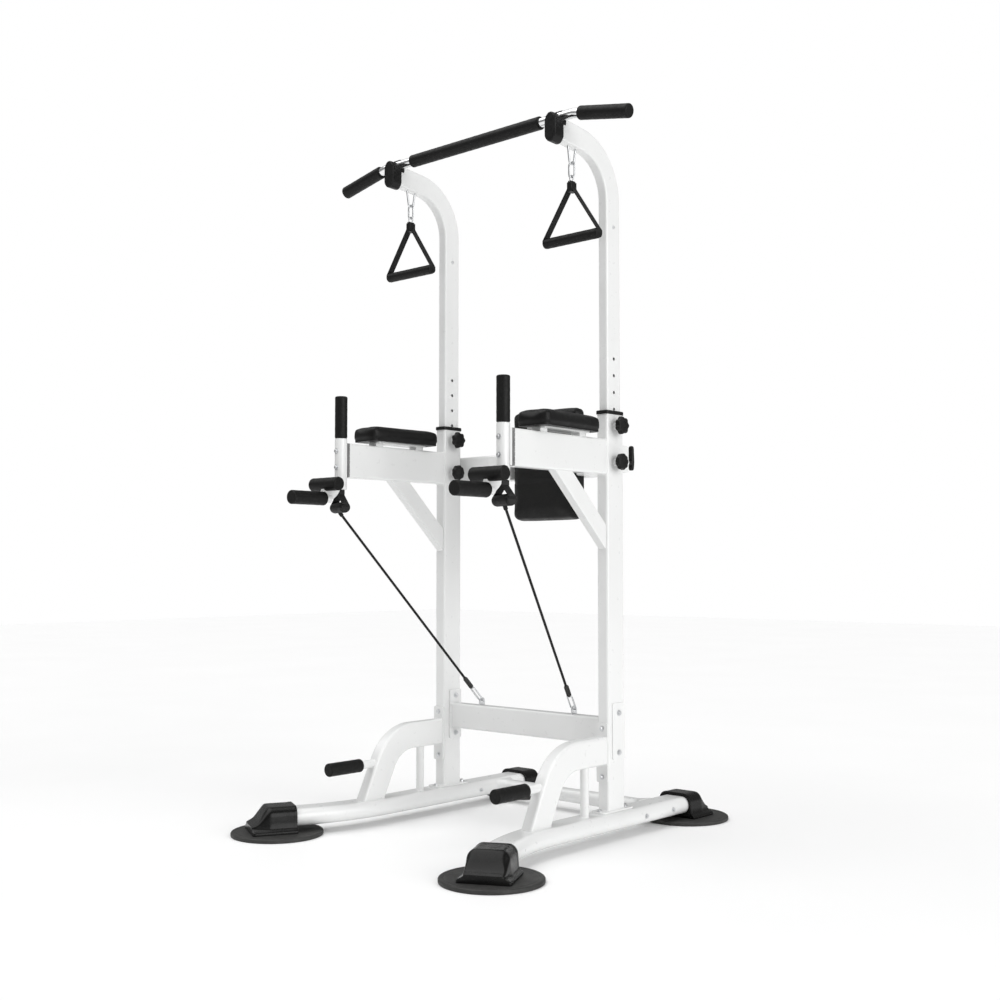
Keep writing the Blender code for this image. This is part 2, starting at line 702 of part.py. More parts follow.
def hanging_handle(centre):
    """Grip, two straps that meet at the clip, and the clip's eye around the link."""
    grip = turned((centre - HANDLE_HALF, HANGER_Y, HANDLE_GRIP_Z), (1, 0, 0),
                  ((0, 0.011), (0.004, 0.015), (2 * HANDLE_HALF - 0.004, 0.015), (2 * HANDLE_HALF, 0.011)))
    joins = []
    for sign in (1, -1):
        reach = centre + sign * (HANDLE_HALF - 0.006)
        top = (centre + sign * 0.004, HANGER_Y, 1.880)
        joins.append(strap((reach, HANGER_Y, HANDLE_GRIP_Z), top, 0.024, 0.003))
    joins.append(box((centre - 0.008, HANGER_Y - 0.0125, 1.866), (centre + 0.008, HANGER_Y + 0.0125, 1.900)))
    outline = [(HANGER_Y - 0.007, 1.890), (HANGER_Y + 0.007, 1.890)]
    outline += arc((HANGER_Y, LINK_BOTTOM_Z), 0.007, 0, math.pi, 6)
    joins.append(slab(outline, centre - 0.004, centre + 0.004))
    eye = rod((centre - 0.02, HANGER_Y, LINK_BOTTOM_Z), (centre + 0.02, HANGER_Y, LINK_BOTTOM_Z), 0.0042, 12)
    return grip, joins, [eye]


# Dip arms.


def arm():
    """Beam and brace, hollow, with the pad's two seats on top."""
    rear = -TUBE_Y / 2 - GAP
    middle = (ARM_LOW + ARM_HIGH) / 2
    height = ARM_HIGH - ARM_LOW
    outline = rounded_rect(height, TUBE_X, 0.007)
    beam = straight((HALF_WIDTH, rear, middle), (HALF_WIDTH, ARM_FRONT, middle), (1, 0, 0), outline)
    inner = rounded_rect(height - 2 * WALL, TUBE_X - 2 * WALL, 0.005)
    hollow = straight((HALF_WIDTH, rear + 0.01, middle), (HALF_WIDTH, ARM_FRONT - 0.01, middle), (1, 0, 0), inner)
    brace = [(-0.275, ARM_LOW + 0.003), (rear, 0.8388), (rear, 0.914), (-0.195, ARM_LOW + 0.003)]
    core = [(-0.2705, ARM_LOW + 0.004), (rear + 0.01, 0.8345), (rear + 0.01, 0.9010), (-0.199, ARM_LOW + 0.004)]
    joins = [slab(brace, HALF_WIDTH - 0.014, HALF_WIDTH + 0.014)]
    for y in (-0.150, -0.325):
        low = (HALF_WIDTH - 0.016, y - 0.015, ARM_HIGH - 0.001)
        joins.append(box(low, (HALF_WIDTH + 0.016, y + 0.015, PAD_SEAT)))
    return beam, joins, [hollow, slab(core, HALF_WIDTH - 0.012, HALF_WIDTH + 0.012)]


def arm_saddle():
    """The grey block between beam and post, hollowed to the post's curve."""
    body = box((HALF_WIDTH - 0.0215, -0.472, ARM_LOW), (HALF_WIDTH + 0.0215, ARM_FRONT - GAP, ARM_HIGH))
    return body, [], [rod((POST_X, POST_Y, 1.0), (POST_X, POST_Y, 1.2), POST_RADIUS + GAP, 28)]


def arm_post():
    """Post with the spigot for the upright grip, and the web that carries both roller stubs."""
    profile = ((0, POST_RADIUS), (0.155, POST_RADIUS), (0.1555, 0.0125), (0.275, 0.0125))
    post = turned((POST_X, POST_Y, 1.020), (0, 0, 1), profile)
    web = [(-0.4785, 1.0245), (-0.4785, 1.062), (-0.500, 1.056), (-0.530, 1.040), (-0.546, 1.020)]
    web += [(-0.546, 0.984), (-0.520, 0.984), (-0.498, 0.996), (-0.484, 1.012)]
    joins = [
        slab(web, POST_X - 0.006, POST_X + 0.006),
        rod((POST_X - 0.052, *CROSS_ROLLER), (POST_X + 0.052, *CROSS_ROLLER), 0.0125),
        rod((POST_X, -0.515, FRONT_ROLLER_Z), (POST_X, -0.655, FRONT_ROLLER_Z), 0.0125),
    ]
    return post, joins, [rod((POST_X, POST_Y, 1.0), (POST_X, POST_Y, 1.168), POST_RADIUS - WALL)]


def dip_grip():
    return sleeve((POST_X, POST_Y, 1.1758), (0, 0, 1), 0.128, 0.019, 0.0125 + GAP, blind=0.008)


def cross_roller():
    """Foam around the cross stub, slit at the back for the web."""
    body, joins, cuts = sleeve((POST_X - 0.060, *CROSS_ROLLER), (1, 0, 0), 0.120, ROLLER_RADIUS, 0.0125 + GAP)
    y, z = CROSS_ROLLER
    slit = box((POST_X - 0.0065, y - 0.0165, z - 0.03), (POST_X + 0.0065, y + 0.04, z + 0.03))
    return body, joins, cuts + [slit]


def front_roller():
    start = (POST_X, -0.5365, FRONT_ROLLER_Z)
    body, joins, cuts = sleeve(start, (0, -1, 0), 0.128, 0.0208, 0.0125 + GAP, blind=0.009)
    low = (POST_X - 0.0068, -0.5477, FRONT_ROLLER_Z - 0.031)
    slit = box(low, (POST_X + 0.0068, -0.529, FRONT_ROLLER_Z + 0.033))
    return body, joins, [slit] + cuts


def arm_pad():
    turn = Matrix.Translation((0.333, -0.238, 1.1754)) @ Matrix.Rotation(PAD_TOE_OUT, 4, "Z")
    return moved(cushion(0.114, 0.277, 0.047, 0.022, 0.006), turn), [], []


# Cross members and back rest.


def base_crossbar():
    """Cross tube with its end flanges and the two eye plates for the ropes."""
    half = HALF_WIDTH - TUBE_X / 2 - GAP
    middle = (BASE_BAR_LOW + BASE_BAR_HIGH) / 2
    depth = BASE_BAR_HIGH - BASE_BAR_LOW
    outline = rounded_rect(0.040, depth, 0.008)
    bore = rounded_rect(0.040 - 2 * WALL, depth - 2 * WALL, 0.006)
    reach = half - 0.001
    loops = []
    for shape in (outline, bore):
        loops.append([placed(shape, (x, BASE_BAR_Y, middle), (0, 1, 0), (0, 0, 1)) for x in (-reach, reach)])
    joins = []
    cuts = []
    for sign in (1, -1):
        joins.append(plate((sign * half, BASE_BAR_Y + 0.003, 0.309), 0.052, 0.158, -sign * 0.005))
        eye = Vector((sign * ROPE_EYE.x, ROPE_EYE.y, ROPE_EYE.z))
        outline = [(eye.y - 0.012, BASE_BAR_HIGH - 0.001), (eye.y + 0.012, BASE_BAR_HIGH - 0.001)]
        outline += arc((eye.y, eye.z), 0.011, 0, math.pi, 8)
        joins.append(slab(outline, eye.x - 0.002, eye.x + 0.002))
        cuts.append(rod(eye - Vector((0.01, 0, 0)), eye + Vector((0.01, 0, 0)), 0.0055, 16))
        cuts.append(rod((sign * 0.26, BASE_BAR_Y, middle), (sign * 0.34, BASE_BAR_Y, middle), 0.012, 16))
    return loft(*loops), joins, cuts


def back_frame():
    """Cross tube behind the uprights that bows round behind the back pad, with the pad's plate."""
    middle = (BACK_BAR_LOW + BACK_BAR_HIGH) / 2
    depth = BACK_BAR_HIGH - BACK_BAR_LOW
    corners = [
        (-BACK_BAR_END, BACK_BAR_Y, middle),
        (-BACK_BAR_BOW_X, BACK_BAR_Y, middle),
        (-BACK_BAR_BOW_X, BACK_BAR_BOW_Y, middle),
        (BACK_BAR_BOW_X, BACK_BAR_BOW_Y, middle),
        (BACK_BAR_BOW_X, BACK_BAR_Y, middle),
        (BACK_BAR_END, BACK_BAR_Y, middle),
    ]
    path = filleted(corners, 0.032, 5)
    inner = rounded_rect(0.040 - 2 * WALL, depth - 2 * WALL, 0.005)
    tube = sweep(path, (0, 0, 1), rounded_rect(0.040, depth, 0.007), inner)
    joins = [box((-0.090, 0.1338, 1.030), (0.090, BACK_BAR_BOW_Y - 0.019, 1.182))]
    cuts = []
    rear = BACK_BAR_Y + 0.020
    for x in (HALF_WIDTH, -HALF_WIDTH):
        joins.append(rod((x, rear - 0.001, REAR_KNOB_Z), (x, rear + REAR_BOSS, REAR_KNOB_Z), 0.010))
        cuts.append(rod((x, 0.03, REAR_KNOB_Z), (x, rear + 0.02, REAR_KNOB_Z), PIN_RADIUS + GAP))
    return tube, joins, cuts


def back_pad():
    stand = Matrix.Translation((0, 0.1335, 1.1125)) @ Matrix.Rotation(math.radians(90), 4, "X")
    return moved(cushion(0.275, 0.361, 0.0515, 0.020, 0.006), stand), [], []


# Ropes.


def rope_way():
    return (ROPE_TOP - ROPE_EYE).normalized()


def rope_clip():
    """Snap hook through the eye plate, and the ribbed sleeve at the rope's end."""
    way = rope_way()
    across = (Vector((1, 0, 0)) - way * way.x).normalized()
    hook = ring(ROPE_EYE + way * 0.061, ROPE_EYE, across, 0.020, 0.0025)
    profile = [(0, 0.005), (0.003, 0.007)]
    for rib in range(3):
        start = 0.006 + rib * 0.012
        profile += [(start, 0.0075), (start + 0.009, 0.0075), (start + 0.010, 0.0062)]
    profile += [(0.043, 0.0055)]
    return turned(ROPE_EYE + way * (ROPE_START - 0.043), way, profile, 12), [hook], []


def rope():
    way = rope_way()
    return rod(ROPE_EYE + way * (ROPE_START + GAP), ROPE_TOP - way * GAP, ROPE_RADIUS, 12), [], []


def rope_handle(sign):
    """Short grip under the arm's front end on its own webbing, turned the same way on both sides."""
    middle = Vector((0, 0, 0.966))
    half = 0.040
    rim = ((0, 0.013), (0.003, 0.0165), (2 * half - 0.003, 0.0165), (2 * half, 0.013))
    grip = turned(middle - Vector((half, 0, 0)), (1, 0, 0), rim, 24)
    joins = []
    for side in (1, -1):
        reach = Vector((side * (half - 0.005), 0, 0))
        joins.append(strap(middle + reach, (side * 0.003, 0, 1.0165), 0.024, 0.003))
    joins.append(box((-0.008, -0.008, 1.008), (0.008, 0.008, 1.0195)))
    stand = Matrix.Translation((sign * ROPE_TOP.x, POST_Y, 0)) @ Matrix.Rotation(ROPE_GRIP_TURN, 4, "Z")
    grip = moved(grip, stand)
    joins = [moved(shape, stand) for shape in joins]
    way = rope_way()
    way.x *= sign
    end = Vector((sign * ROPE_TOP.x, ROPE_TOP.y, ROPE_TOP.z))
    joins.append(rod(end, end + way * 0.012, 0.006, 12))
    return grip, joins, []


def build():
    front = rail_direction()
    rear = Vector((0, 1))
    add_pair("front_disc", lambda: disc(FRONT_DISC), RUBBER)
    add_pair("rear_disc", lambda: disc(REAR_DISC), RUBBER)
    add_pair("front_boot", lambda: boot(FRONT_DISC, front, BOOT_FRONT), PLASTIC)
    add_pair("rear_boot", lambda: boot(REAR_DISC, rear, BOOT_REAR), PLASTIC)
    add_pair("floor_rail", floor_rail, WHITE)
    add_node("rear_frame", rear_frame(), WHITE)
    add_pair("strut", strut, WHITE)
    add_pair("push_up_grip", push_up_grip, FOAM)
    add_both("lower_upright", lower_upright, WHITE, (0, 0, 0))
    add_both("collar", collar, PLASTIC, (0, 0, UPRIGHT_TOP))
    pull_head = star(0.027, 7, 0.16)
    clamp_head = star(0.025, 9, 0.08)
    add_both("pull_knob", lambda x: knob(x, PULL_KNOB_Z, pull_head, 0.026), PLASTIC, (0, 0, PULL_KNOB_Z))
    add_both("clamp_knob", lambda x: knob(x, CLAMP_KNOB_Z, clamp_head, 0.024), PLASTIC, (0, 0, CLAMP_KNOB_Z))
    add_both("rear_knob", rear_knob, PLASTIC, (0, REAR_KNOB_Y, REAR_KNOB_Z))
    add_node("base_crossbar", base_crossbar(), WHITE)
    add_node("back_frame", back_frame(), WHITE)
    add_node("back_pad", back_pad(), VINYL)
    add_pair("arm", arm, WHITE)
    add_pair("arm_saddle", arm_saddle, GREY_RUBBER)
    add_pair("arm_post", arm_post, WHITE)
    add_pair("dip_grip", dip_grip, FOAM)
    add_pair("cross_roller", cross_roller, FOAM)
    add_pair("front_roller", front_roller, FOAM)
    add_pair("arm_pad", arm_pad, VINYL)
    add_both("mast_tube", mast_tube, WHITE, (0, 0, UPRIGHT_TOP))
    add_node("pull_up_bar", pull_up_bar(), CHROME)
    add_node("bar_foam_middle", bar_foam_middle(), FOAM)
    add_pair("bar_foam", bar_foam, FOAM)
    add_both("bar_cap", bar_cap, PLASTIC, (0, BAR_Y, BAR_Z))
    add_both("handle_link", handle_link, CHROME, (0, HANGER_Y, HANGER_Z))
    add_both("hanging_handle", hanging_handle, WEBBING, (0, HANGER_Y, LINK_BOTTOM_Z))
    add_pair("rope_clip", rope_clip, PLASTIC)
    add_pair("rope", rope, WEBBING)
    add_node("rope_handle_right", rope_handle(1), WEBBING)
    add_node("rope_handle_left", rope_handle(-1), WEBBING)


build()
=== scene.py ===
"""Looks of the power tower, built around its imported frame.

Metres. -Y is the front, +Z is up, the floor is z = 0. Builders work in the uprights' own
coordinates, where both upright tubes stand at y = 0, and keep() shifts them into the frame.
"""

import json
from math import copysign, cos, exp, hypot, pi, radians, sin, tan

import bmesh
import bpy
from mathutils import Matrix, Vector

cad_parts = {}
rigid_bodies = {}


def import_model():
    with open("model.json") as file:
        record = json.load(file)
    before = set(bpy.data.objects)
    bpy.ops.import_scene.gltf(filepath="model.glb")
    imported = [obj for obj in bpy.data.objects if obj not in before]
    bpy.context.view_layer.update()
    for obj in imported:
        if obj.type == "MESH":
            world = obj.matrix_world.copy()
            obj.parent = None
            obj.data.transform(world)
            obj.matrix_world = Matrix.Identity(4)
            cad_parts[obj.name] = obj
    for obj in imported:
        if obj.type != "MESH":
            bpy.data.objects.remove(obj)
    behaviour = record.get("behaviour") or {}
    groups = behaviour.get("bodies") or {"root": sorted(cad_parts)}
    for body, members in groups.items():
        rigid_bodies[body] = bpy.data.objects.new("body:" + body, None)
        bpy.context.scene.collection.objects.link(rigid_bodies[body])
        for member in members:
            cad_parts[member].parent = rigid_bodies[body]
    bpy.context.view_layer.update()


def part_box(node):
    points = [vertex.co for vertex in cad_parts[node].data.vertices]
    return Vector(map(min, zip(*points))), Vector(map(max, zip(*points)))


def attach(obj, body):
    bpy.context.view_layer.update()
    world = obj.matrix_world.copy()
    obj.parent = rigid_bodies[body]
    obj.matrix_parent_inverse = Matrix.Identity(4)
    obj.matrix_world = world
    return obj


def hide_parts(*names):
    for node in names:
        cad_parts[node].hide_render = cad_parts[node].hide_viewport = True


for leftover in list(bpy.data.objects):
    bpy.data.objects.remove(leftover, do_unlink=True)

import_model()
SCENE = bpy.context.scene
SIDES = (("right", 1), ("left", -1))
X, Y, Z = (Vector(axis) for axis in ((1, 0, 0), (0, 1, 0), (0, 0, 1)))

# Sizes, most of them repeated from the CAD, in the uprights' coordinates.
HALF_WIDTH = 0.3324
WALL = 0.002
GAP = 0.0003
DISC_RADIUS = 0.13535
DISC_THICK = 0.012
FRONT_DISC = Vector((0.4259, -0.6255))
REAR_DISC = Vector((HALF_WIDTH, 0.381))
RAIL_WIDTH = 0.1
RAIL_HEIGHT = 0.05
RAIL_Z = 0.0515
RAIL_TOP = RAIL_Z + RAIL_HEIGHT / 2
RAIL_BEND_Y = -0.4459
RAIL_BEND_RADIUS = 0.615
RAIL_SEAM_Y = 0.13
BOOT_TOP = 0.0865
BOOT_NECK = 0.058
BOOT_SKIRT = 0.071
BOOT_FRONT = (-0.084, -0.032, 0.048)
BOOT_REAR = (-0.058, -0.008, 0.055)
RAIL_IN_BOOT = 0.022
REAR_BAR_Y = 0.228
REAR_BAR_WIDTH = 0.054
REAR_BAR_HEIGHT = 0.042
TUBE_X = 0.04
TUBE_Y = 0.08
UPRIGHT_TOP = 1.237
COLLAR_TOP = 1.248
PULL_KNOB_Z = 1.203
CLAMP_KNOB_Z = 1.096
REAR_KNOB_Z = 1.1
REAR_KNOB_Y = 0.107
MAST_X = 0.032
MAST_Y = 0.066
MAST_BOTTOM = 0.9
MAST_BEND = Vector((-0.152, 1.877))
MAST_BEND_ANGLE = radians(85)
MAST_FRONT_Y = -0.262
BAR_Y = -0.236
BAR_Z = 2.0727
BAR_RADIUS = 0.014
BAR_BEND_X = 0.385
BAR_END_X = 0.576
BAR_DROOP = radians(11.5)
FOAM_RADIUS = 0.0195
FOAM_MIDDLE_HALF = 0.2664
FOAM_OUTER_X = 0.409
CAP_FRONT = -0.279
CAP_REAR = -0.2377
CAP_Z = 2.0365
HANGER_Y = -0.178
HANGER_Z = 1.951
LINK_TOP_Z = 1.957
LINK_BOTTOM_Z = 1.912
GRIP_Z = 1.733
GRIP_HALF = 0.1
ARM_LOW = 1.058
ARM_HIGH = 1.162
ARM_FRONT = -0.452
POST_X = 0.329
POST_Y = -0.4725
POST_RADIUS = 0.0185
CROSS_ROLLER = Vector((-0.53, 1.034))
FRONT_ROLLER_Z = 0.991
BASE_BAR_Y = 0.007
BASE_BAR_LOW = 0.265
BASE_BAR_HIGH = 0.345
BACK_BAR_Y = 0.0605
BACK_BAR_Z = 1.109
BACK_BAR_END = 0.341
BACK_BAR_BOW = Vector((0.166, 0.159))
STRUT_Z = 0.255
PUSH_UP_Z = 0.183
STRUT_BEND_Y = -0.173
STRUT_BEND_RADIUS = 0.13
STRUT_FALL = radians(64)
ROPE_EYE = Vector((0.188, 0.007, 0.358))
ROPE_TOP = Vector((0.332, -0.466, 0.944))
ROPE_START = 0.1
ROPE_GRIP_TURN = radians(-15)
ROPE_RADIUS = 0.004
HANDLE_GRIP_RADIUS = 0.0152
HANDLE_CLIP_Z = 1.882
ROPE_GRIP_Z = 0.966
ROPE_GRIP_HALF = 0.04
ROPE_GRIP_RADIUS = 0.0166
STUB_RADIUS = 0.0125
STUB_POST_Y = -0.128
ARM_PAD_Y = -0.238
ARM_PAD_Z = 1.1754
ARM_PAD_TURN = radians(3.63)
BACK_PAD_Y = 0.1335
BACK_PAD_Z = 1.1125
UPRIGHT_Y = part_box("mast_tube_right")[1].y - MAST_Y / 2
IN_FRAME = Matrix.Translation((0, UPRIGHT_Y, 0))


def quarter(steps):
    """Turns from 0 to a right angle."""
    return [pi / 2 * step / steps for step in range(steps + 1)]


# Outlines, each a closed list of (u, v) that runs anticlockwise.


def circle(radius, count=40):
    turns = [2 * pi * step / count for step in range(count)]
    return [(radius * cos(turn), radius * sin(turn)) for turn in turns]


def rounded_rect(width, height, radius, steps=6):
    points = []
    for quarter, (side_u, side_v) in enumerate(((1, 1), (-1, 1), (-1, -1), (1, -1))):
        centre_u = side_u * (width / 2 - radius)
        centre_v = side_v * (height / 2 - radius)
        for step in range(steps + 1):
            turn = pi / 2 * (quarter + step / steps)
            points.append((centre_u + radius * cos(turn), centre_v + radius * sin(turn)))
    return points


def flat_oval(width, height, steps=10):
    return rounded_rect(width, height, min(width, height) / 2 - 0.0005, steps)


def star(radius, lobes, depth, per_lobe=10):
    points = []
    for step in range(lobes * per_lobe):
        turn = 2 * pi * step / (lobes * per_lobe)
        reach = radius * (1 - depth * (1 - cos(lobes * turn)) / 2)
        points.append((reach * cos(turn), reach * sin(turn)))
    return points


def arc(centre, radius, start, end, steps):
    turns = [start + (end - start) * step / steps for step in range(steps + 1)]
    return [(centre[0] + radius * cos(turn), centre[1] + radius * sin(turn)) for turn in turns]


def filleted(points, radius, steps=16):
    """A path through 3-D corners, with each inner corner rounded to the centre-line radius."""
    path = [Vector(points[0])]
    for before, corner, after in zip(points, points[1:], points[2:]):
        back = (Vector(before) - Vector(corner)).normalized()
        ahead = (Vector(after) - Vector(corner)).normalized()
        half = (pi - back.angle(ahead)) / 2
        reach = radius * tan(half)
        centre = Vector(corner) + (back + ahead).normalized() * radius / cos(half)
        start = Vector(corner) + back * reach - centre
        axis = ahead.cross(back).normalized()
        for step in range(steps + 1):
            path.append(centre + Matrix.Rotation(2 * half * step / steps, 3, axis) @ start)
    path.append(Vector(points[-1]))
    return path


# Shapes, as bmesh.


def skin(shape, loops):
    rings = [[shape.verts.new(point) for point in loop] for loop in loops]
    count = len(rings[0])
    for lower, upper in zip(rings, rings[1:]):
        for step in range(count):
            after = (step + 1) % count
            shape.faces.new((lower[step], lower[after], upper[after], upper[step]))
    return rings


def loft(loops, bore=None):
    """A closed body through the loops. With bore loops it is a tube, open at both ends."""
    shape = bmesh.new()
    outer = skin(shape, loops)
    if bore is None:
        shape.faces.new(outer[0][::-1])
        shape.faces.new(outer[-1])
    else:
        inner = skin(shape, bore)
        for wall, hole in ((outer[0], inner[0]), (outer[-1], inner[-1])):
            for step in range(len(wall)):
                after = (step + 1) % len(wall)
                shape.faces.new((wall[step], wall[after], hole[after], hole[step]))
    bmesh.ops.recalc_face_normals(shape, faces=shape.faces)
    return shape


def placed(outline, origin, u_axis=X, v_axis=Y):
    return [Vector(origin) + u_axis * u + v_axis * v for u, v in outline]


def prism(outline, places, u_axis=X, v_axis=Y, bore=None):
    """The same outline at each place, with the same bore through it where one is given."""
    sections = (outline, bore) if bore else (outline,)
    return loft(*[[placed(section, place, u_axis, v_axis) for place in places] for section in sections])


def tapered(stations, corner, origin, u_axis=X, v_axis=Y, bore=None, steps=6):
    """Rounded rectangles along u_axis x v_axis, from (distance, width, height) stations."""
    along = u_axis.cross(v_axis)
    places = [Vector(origin) + along * distance for distance, _, _ in stations]
    loops = [placed(rounded_rect(width, height, corner, steps), place, u_axis, v_axis)
             for place, (_, width, height) in zip(places, stations)]
    return loft(loops, bore and [placed(bore, place, u_axis, v_axis) for place in places])


def sweep(path, side, outline, bore=None, closed=False):
    """Carries an outline along a flat path. u lies in the path's plane, v along side."""
    path = [Vector(point) for point in path]
    side = Vector(side).normalized()
    last = len(path) - 1
    frames = []
    for index, point in enumerate(path):
        behind = path[index - 1] if index or closed else point
        beyond = path[(index + 1) % len(path)] if index < last or closed else point
        back = (point - behind).normalized()
        ahead = (beyond - point).normalized()
        stretch = 1 / cos(back.angle(ahead) / 2) if back.length * ahead.length > 0.5 else 1
        frames.append((point, (back + ahead).normalized().cross(side) * stretch))
    outer, inner = [section and [placed(section, point, across, side) for point, across in frames]
                    for section in (outline, bore)]
    if not closed:
        return loft(outer, inner)
    shape = bmesh.new()
    rings = skin(shape, outer)
    count = len(outline)
    for step in range(count):
        after = (step + 1) % count
        shape.faces.new((rings[-1][step], rings[-1][after], rings[0][after], rings[0][step]))
    bmesh.ops.recalc_face_normals(shape, faces=shape.faces)
    return shape


def weld(outline, origin, side, u_axis=X, v_axis=Y, radius=0.0022):
    """The bead where a tube of this outline stands on another part."""
    return sweep(placed(outline, origin, u_axis, v_axis), side, circle(radius, 8), closed=True)


def turned(start, along, profile, count=48):
    """A round body from (distance, radius) pairs along an axis."""
    along = Vector(along).normalized()
    side = along.orthogonal().normalized()
    other = along.cross(side)
    loops = [placed(circle(max(radius, 1e-5), count), Vector(start) + along * distance, side, other)
             for distance, radius in profile]
    return loft(loops)


def rod(start, end, radius, count=32, edge=0.0):
    """A round bar between two points, with its ends' rims rounded by edge."""
    way = Vector(end) - Vector(start)
    profile = rims(way.length, radius, edge) if edge else ((0, radius), (way.length, radius))
    return turned(start, way, profile, count)


def rims(length, radius, edge, steps=5):
    """Profile of a round body with rounded rims."""
    start = [(edge * (1 - cos(turn)), radius - edge * (1 - sin(turn))) for turn in quarter(steps)]
    return start + [(length - distance, size) for distance, size in reversed(start)]


def dome(radius, height, share=1.0):
    """Profile of a domed end. A share below 1 leaves a flat on top."""
    return [(height * sin(turn), radius * cos(turn * share)) for turn in quarter(6)]


def box(low, high):
    low, high = Vector(low), Vector(high)
    shape = bmesh.new()
    size = Matrix.Diagonal((*(high - low), 1.0))
    bmesh.ops.create_cube(shape, size=1.0, matrix=Matrix.Translation((low + high) / 2) @ size)
    return shape


def slab(outline, x_low, x_high, bore=None):
    """A plate from a (y, z) outline, thick along X."""
    return prism(outline, [(x_low, 0, 0), (x_high, 0, 0)], Y, Z, bore)


def plate(centre, width_y, height_z, thick):
    places = [Vector(centre) + X * shift for shift in (0, thick)]
    return prism(rounded_rect(width_y, height_z, 0.006), places, Y, Z)


def joined(*shapes):
    whole = bmesh.new()
    for shape in shapes:
        carrier = bpy.data.meshes.new("carrier")
        shape.to_mesh(carrier)
        shape.free()
        whole.from_mesh(carrier)
        bpy.data.meshes.remove(carrier)
    return whole


def moved(shape, matrix):
    bmesh.ops.transform(shape, matrix=matrix, verts=shape.verts)
    return shape


def on_side(shape, sign):
    """The shape itself on the right, its mirror image on the left."""
    if sign > 0:
        return shape
    bmesh.ops.transform(shape, matrix=Matrix.Scale(-1, 4, X), verts=shape.verts)
    bmesh.ops.reverse_faces(shape, faces=shape.faces)
    return shape


def cut_below(shape, level):
    parts = [*shape.verts, *shape.edges, *shape.faces]
    cut = bmesh.ops.bisect_plane(shape, geom=parts, plane_co=(0, 0, level), plane_no=Z, clear_inner=True)
    edges = [item for item in cut["geom_cut"] if isinstance(item, bmesh.types.BMEdge)]
    bmesh.ops.contextual_create(shape, geom=edges)
    return shape


# Pieces.


def shade(mesh, smooth=32):
    mesh.shade_smooth()
    mesh.set_sharp_from_angle(angle=radians(smooth))


def to_piece(name, shape, surface, smooth=32):
    mesh = bpy.data.meshes.new(name)
    shape.to_mesh(mesh)
    shape.free()
    mesh.transform(IN_FRAME)
    mesh.materials.append(surface)
    shade(mesh, smooth)
    piece = bpy.data.objects.new(name, mesh)
    SCENE.collection.objects.link(piece)
    return piece


def settle(piece):
    """Applies the piece's modifiers."""
    graph = bpy.context.evaluated_depsgraph_get()
    mesh = bpy.data.meshes.new_from_object(piece.evaluated_get(graph))
    piece.modifiers.clear()
    piece.data = mesh
    return piece


def tie(piece, body, nodes=()):
    """Ties a piece to its body and hides the CAD nodes it stands in for."""
    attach(piece, body)
    if nodes:
        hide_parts(*nodes)


def keep(name, shape, surface, body="stand", nodes=(), edge=0.0, smooth=32):
    """Makes a piece, rounds its edges and ties it."""
    piece = to_piece(name, shape, surface, smooth)
    if edge:
        rounding = piece.modifiers.new("edges", "BEVEL")
        rounding.limit_method = "ANGLE"
        rounding.angle_limit = radians(35)
        rounding.width = edge
        rounding.segments = 3
        rounding.use_clamp_overlap = True
    piece.modifiers.new("normals", "WEIGHTED_NORMAL").keep_sharp = not edge
    tie(piece, body, nodes)
    return piece


def keep_pair(name, build, surface, body="stand", edge=0.0, replaced=True, smooth=32):
    """The piece as built on the right, and its mirror image on the left."""
    for side, sign in SIDES:
        nodes = (f"{name}_{side}",) if replaced else ()
        keep(f"{name}_{side}_look", on_side(build(), sign), surface, body, nodes, edge, smooth)


def keep_both(name, build, surface, body="stand"):
    """The same piece on both sides, facing the same way: build takes the upright's x."""
    for side, sign in SIDES:
        shape = build(sign * HALF_WIDTH)
        keep(f"{name}_{side}_look", shape, surface, body.format(side=side), (f"{name}_{side}",))


# Materials.


def new_look(name, colour, roughness, **sockets):
    made = bpy.data.materials.new(name)
    made.use_nodes = True
    shader = made.node_tree.nodes["Principled BSDF"]
    shader.inputs["Base Color"].default_value = (*colour, 1.0)
    shader.inputs["Roughness"].default_value = roughness
    for socket, value in sockets.items():
        shader.inputs[socket.replace("_", " ")].default_value = value
    return made


def texture(look, kind, scale, stretch=(1, 1, 1), **values):
    """A texture node on the piece's own coordinates, in metres."""
    tree = look.node_tree
    places = tree.nodes.new("ShaderNodeTexCoord")
    mapping = tree.nodes.new("ShaderNodeMapping")
    mapping.inputs["Scale"].default_value = stretch
    node = tree.nodes.new(f"ShaderNodeTex{kind}")
    for key, value in values.items():
        if key in node.inputs:
            node.inputs[key].default_value = value
        else:
            setattr(node, key, value)
    node.inputs["Scale"].default_value = scale
    tree.links.new(places.outputs["Object"], mapping.inputs["Vector"])
    tree.links.new(mapping.outputs["Vector"], node.inputs["Vector"])
    return node


def value_of(node):
    return node.outputs["Fac" if "Fac" in node.outputs else "Distance"]


def drive(look, socket, output):
    """Links a node's output to one of the shader's sockets."""
    look.node_tree.links.new(output, look.node_tree.nodes["Principled BSDF"].inputs[socket])


def vary_roughness(look, node, low, high, span=(0.3, 0.7)):
    """Runs the roughness from low to high as the texture runs over the span."""
    spread = look.node_tree.nodes.new("ShaderNodeMapRange")
    for name, value in zip(("From Min", "From Max", "To Min", "To Max"), (*span, low, high)):
        spread.inputs[name].default_value = value
    look.node_tree.links.new(value_of(node), spread.inputs["Value"])
    drive(look, "Roughness", spread.outputs["Result"])


def vary_colour(look, dark, light, scale, kind="Noise", **values):
    node = texture(look, kind, scale, **values)
    ramp = look.node_tree.nodes.new("ShaderNodeValToRGB")
    for element, position, colour in zip(ramp.color_ramp.elements, (0.3, 0.7), (dark, light)):
        element.position = position
        element.color = (*colour, 1)
    look.node_tree.links.new(value_of(node), ramp.inputs["Fac"])
    drive(look, "Base Color", ramp.outputs["Color"])


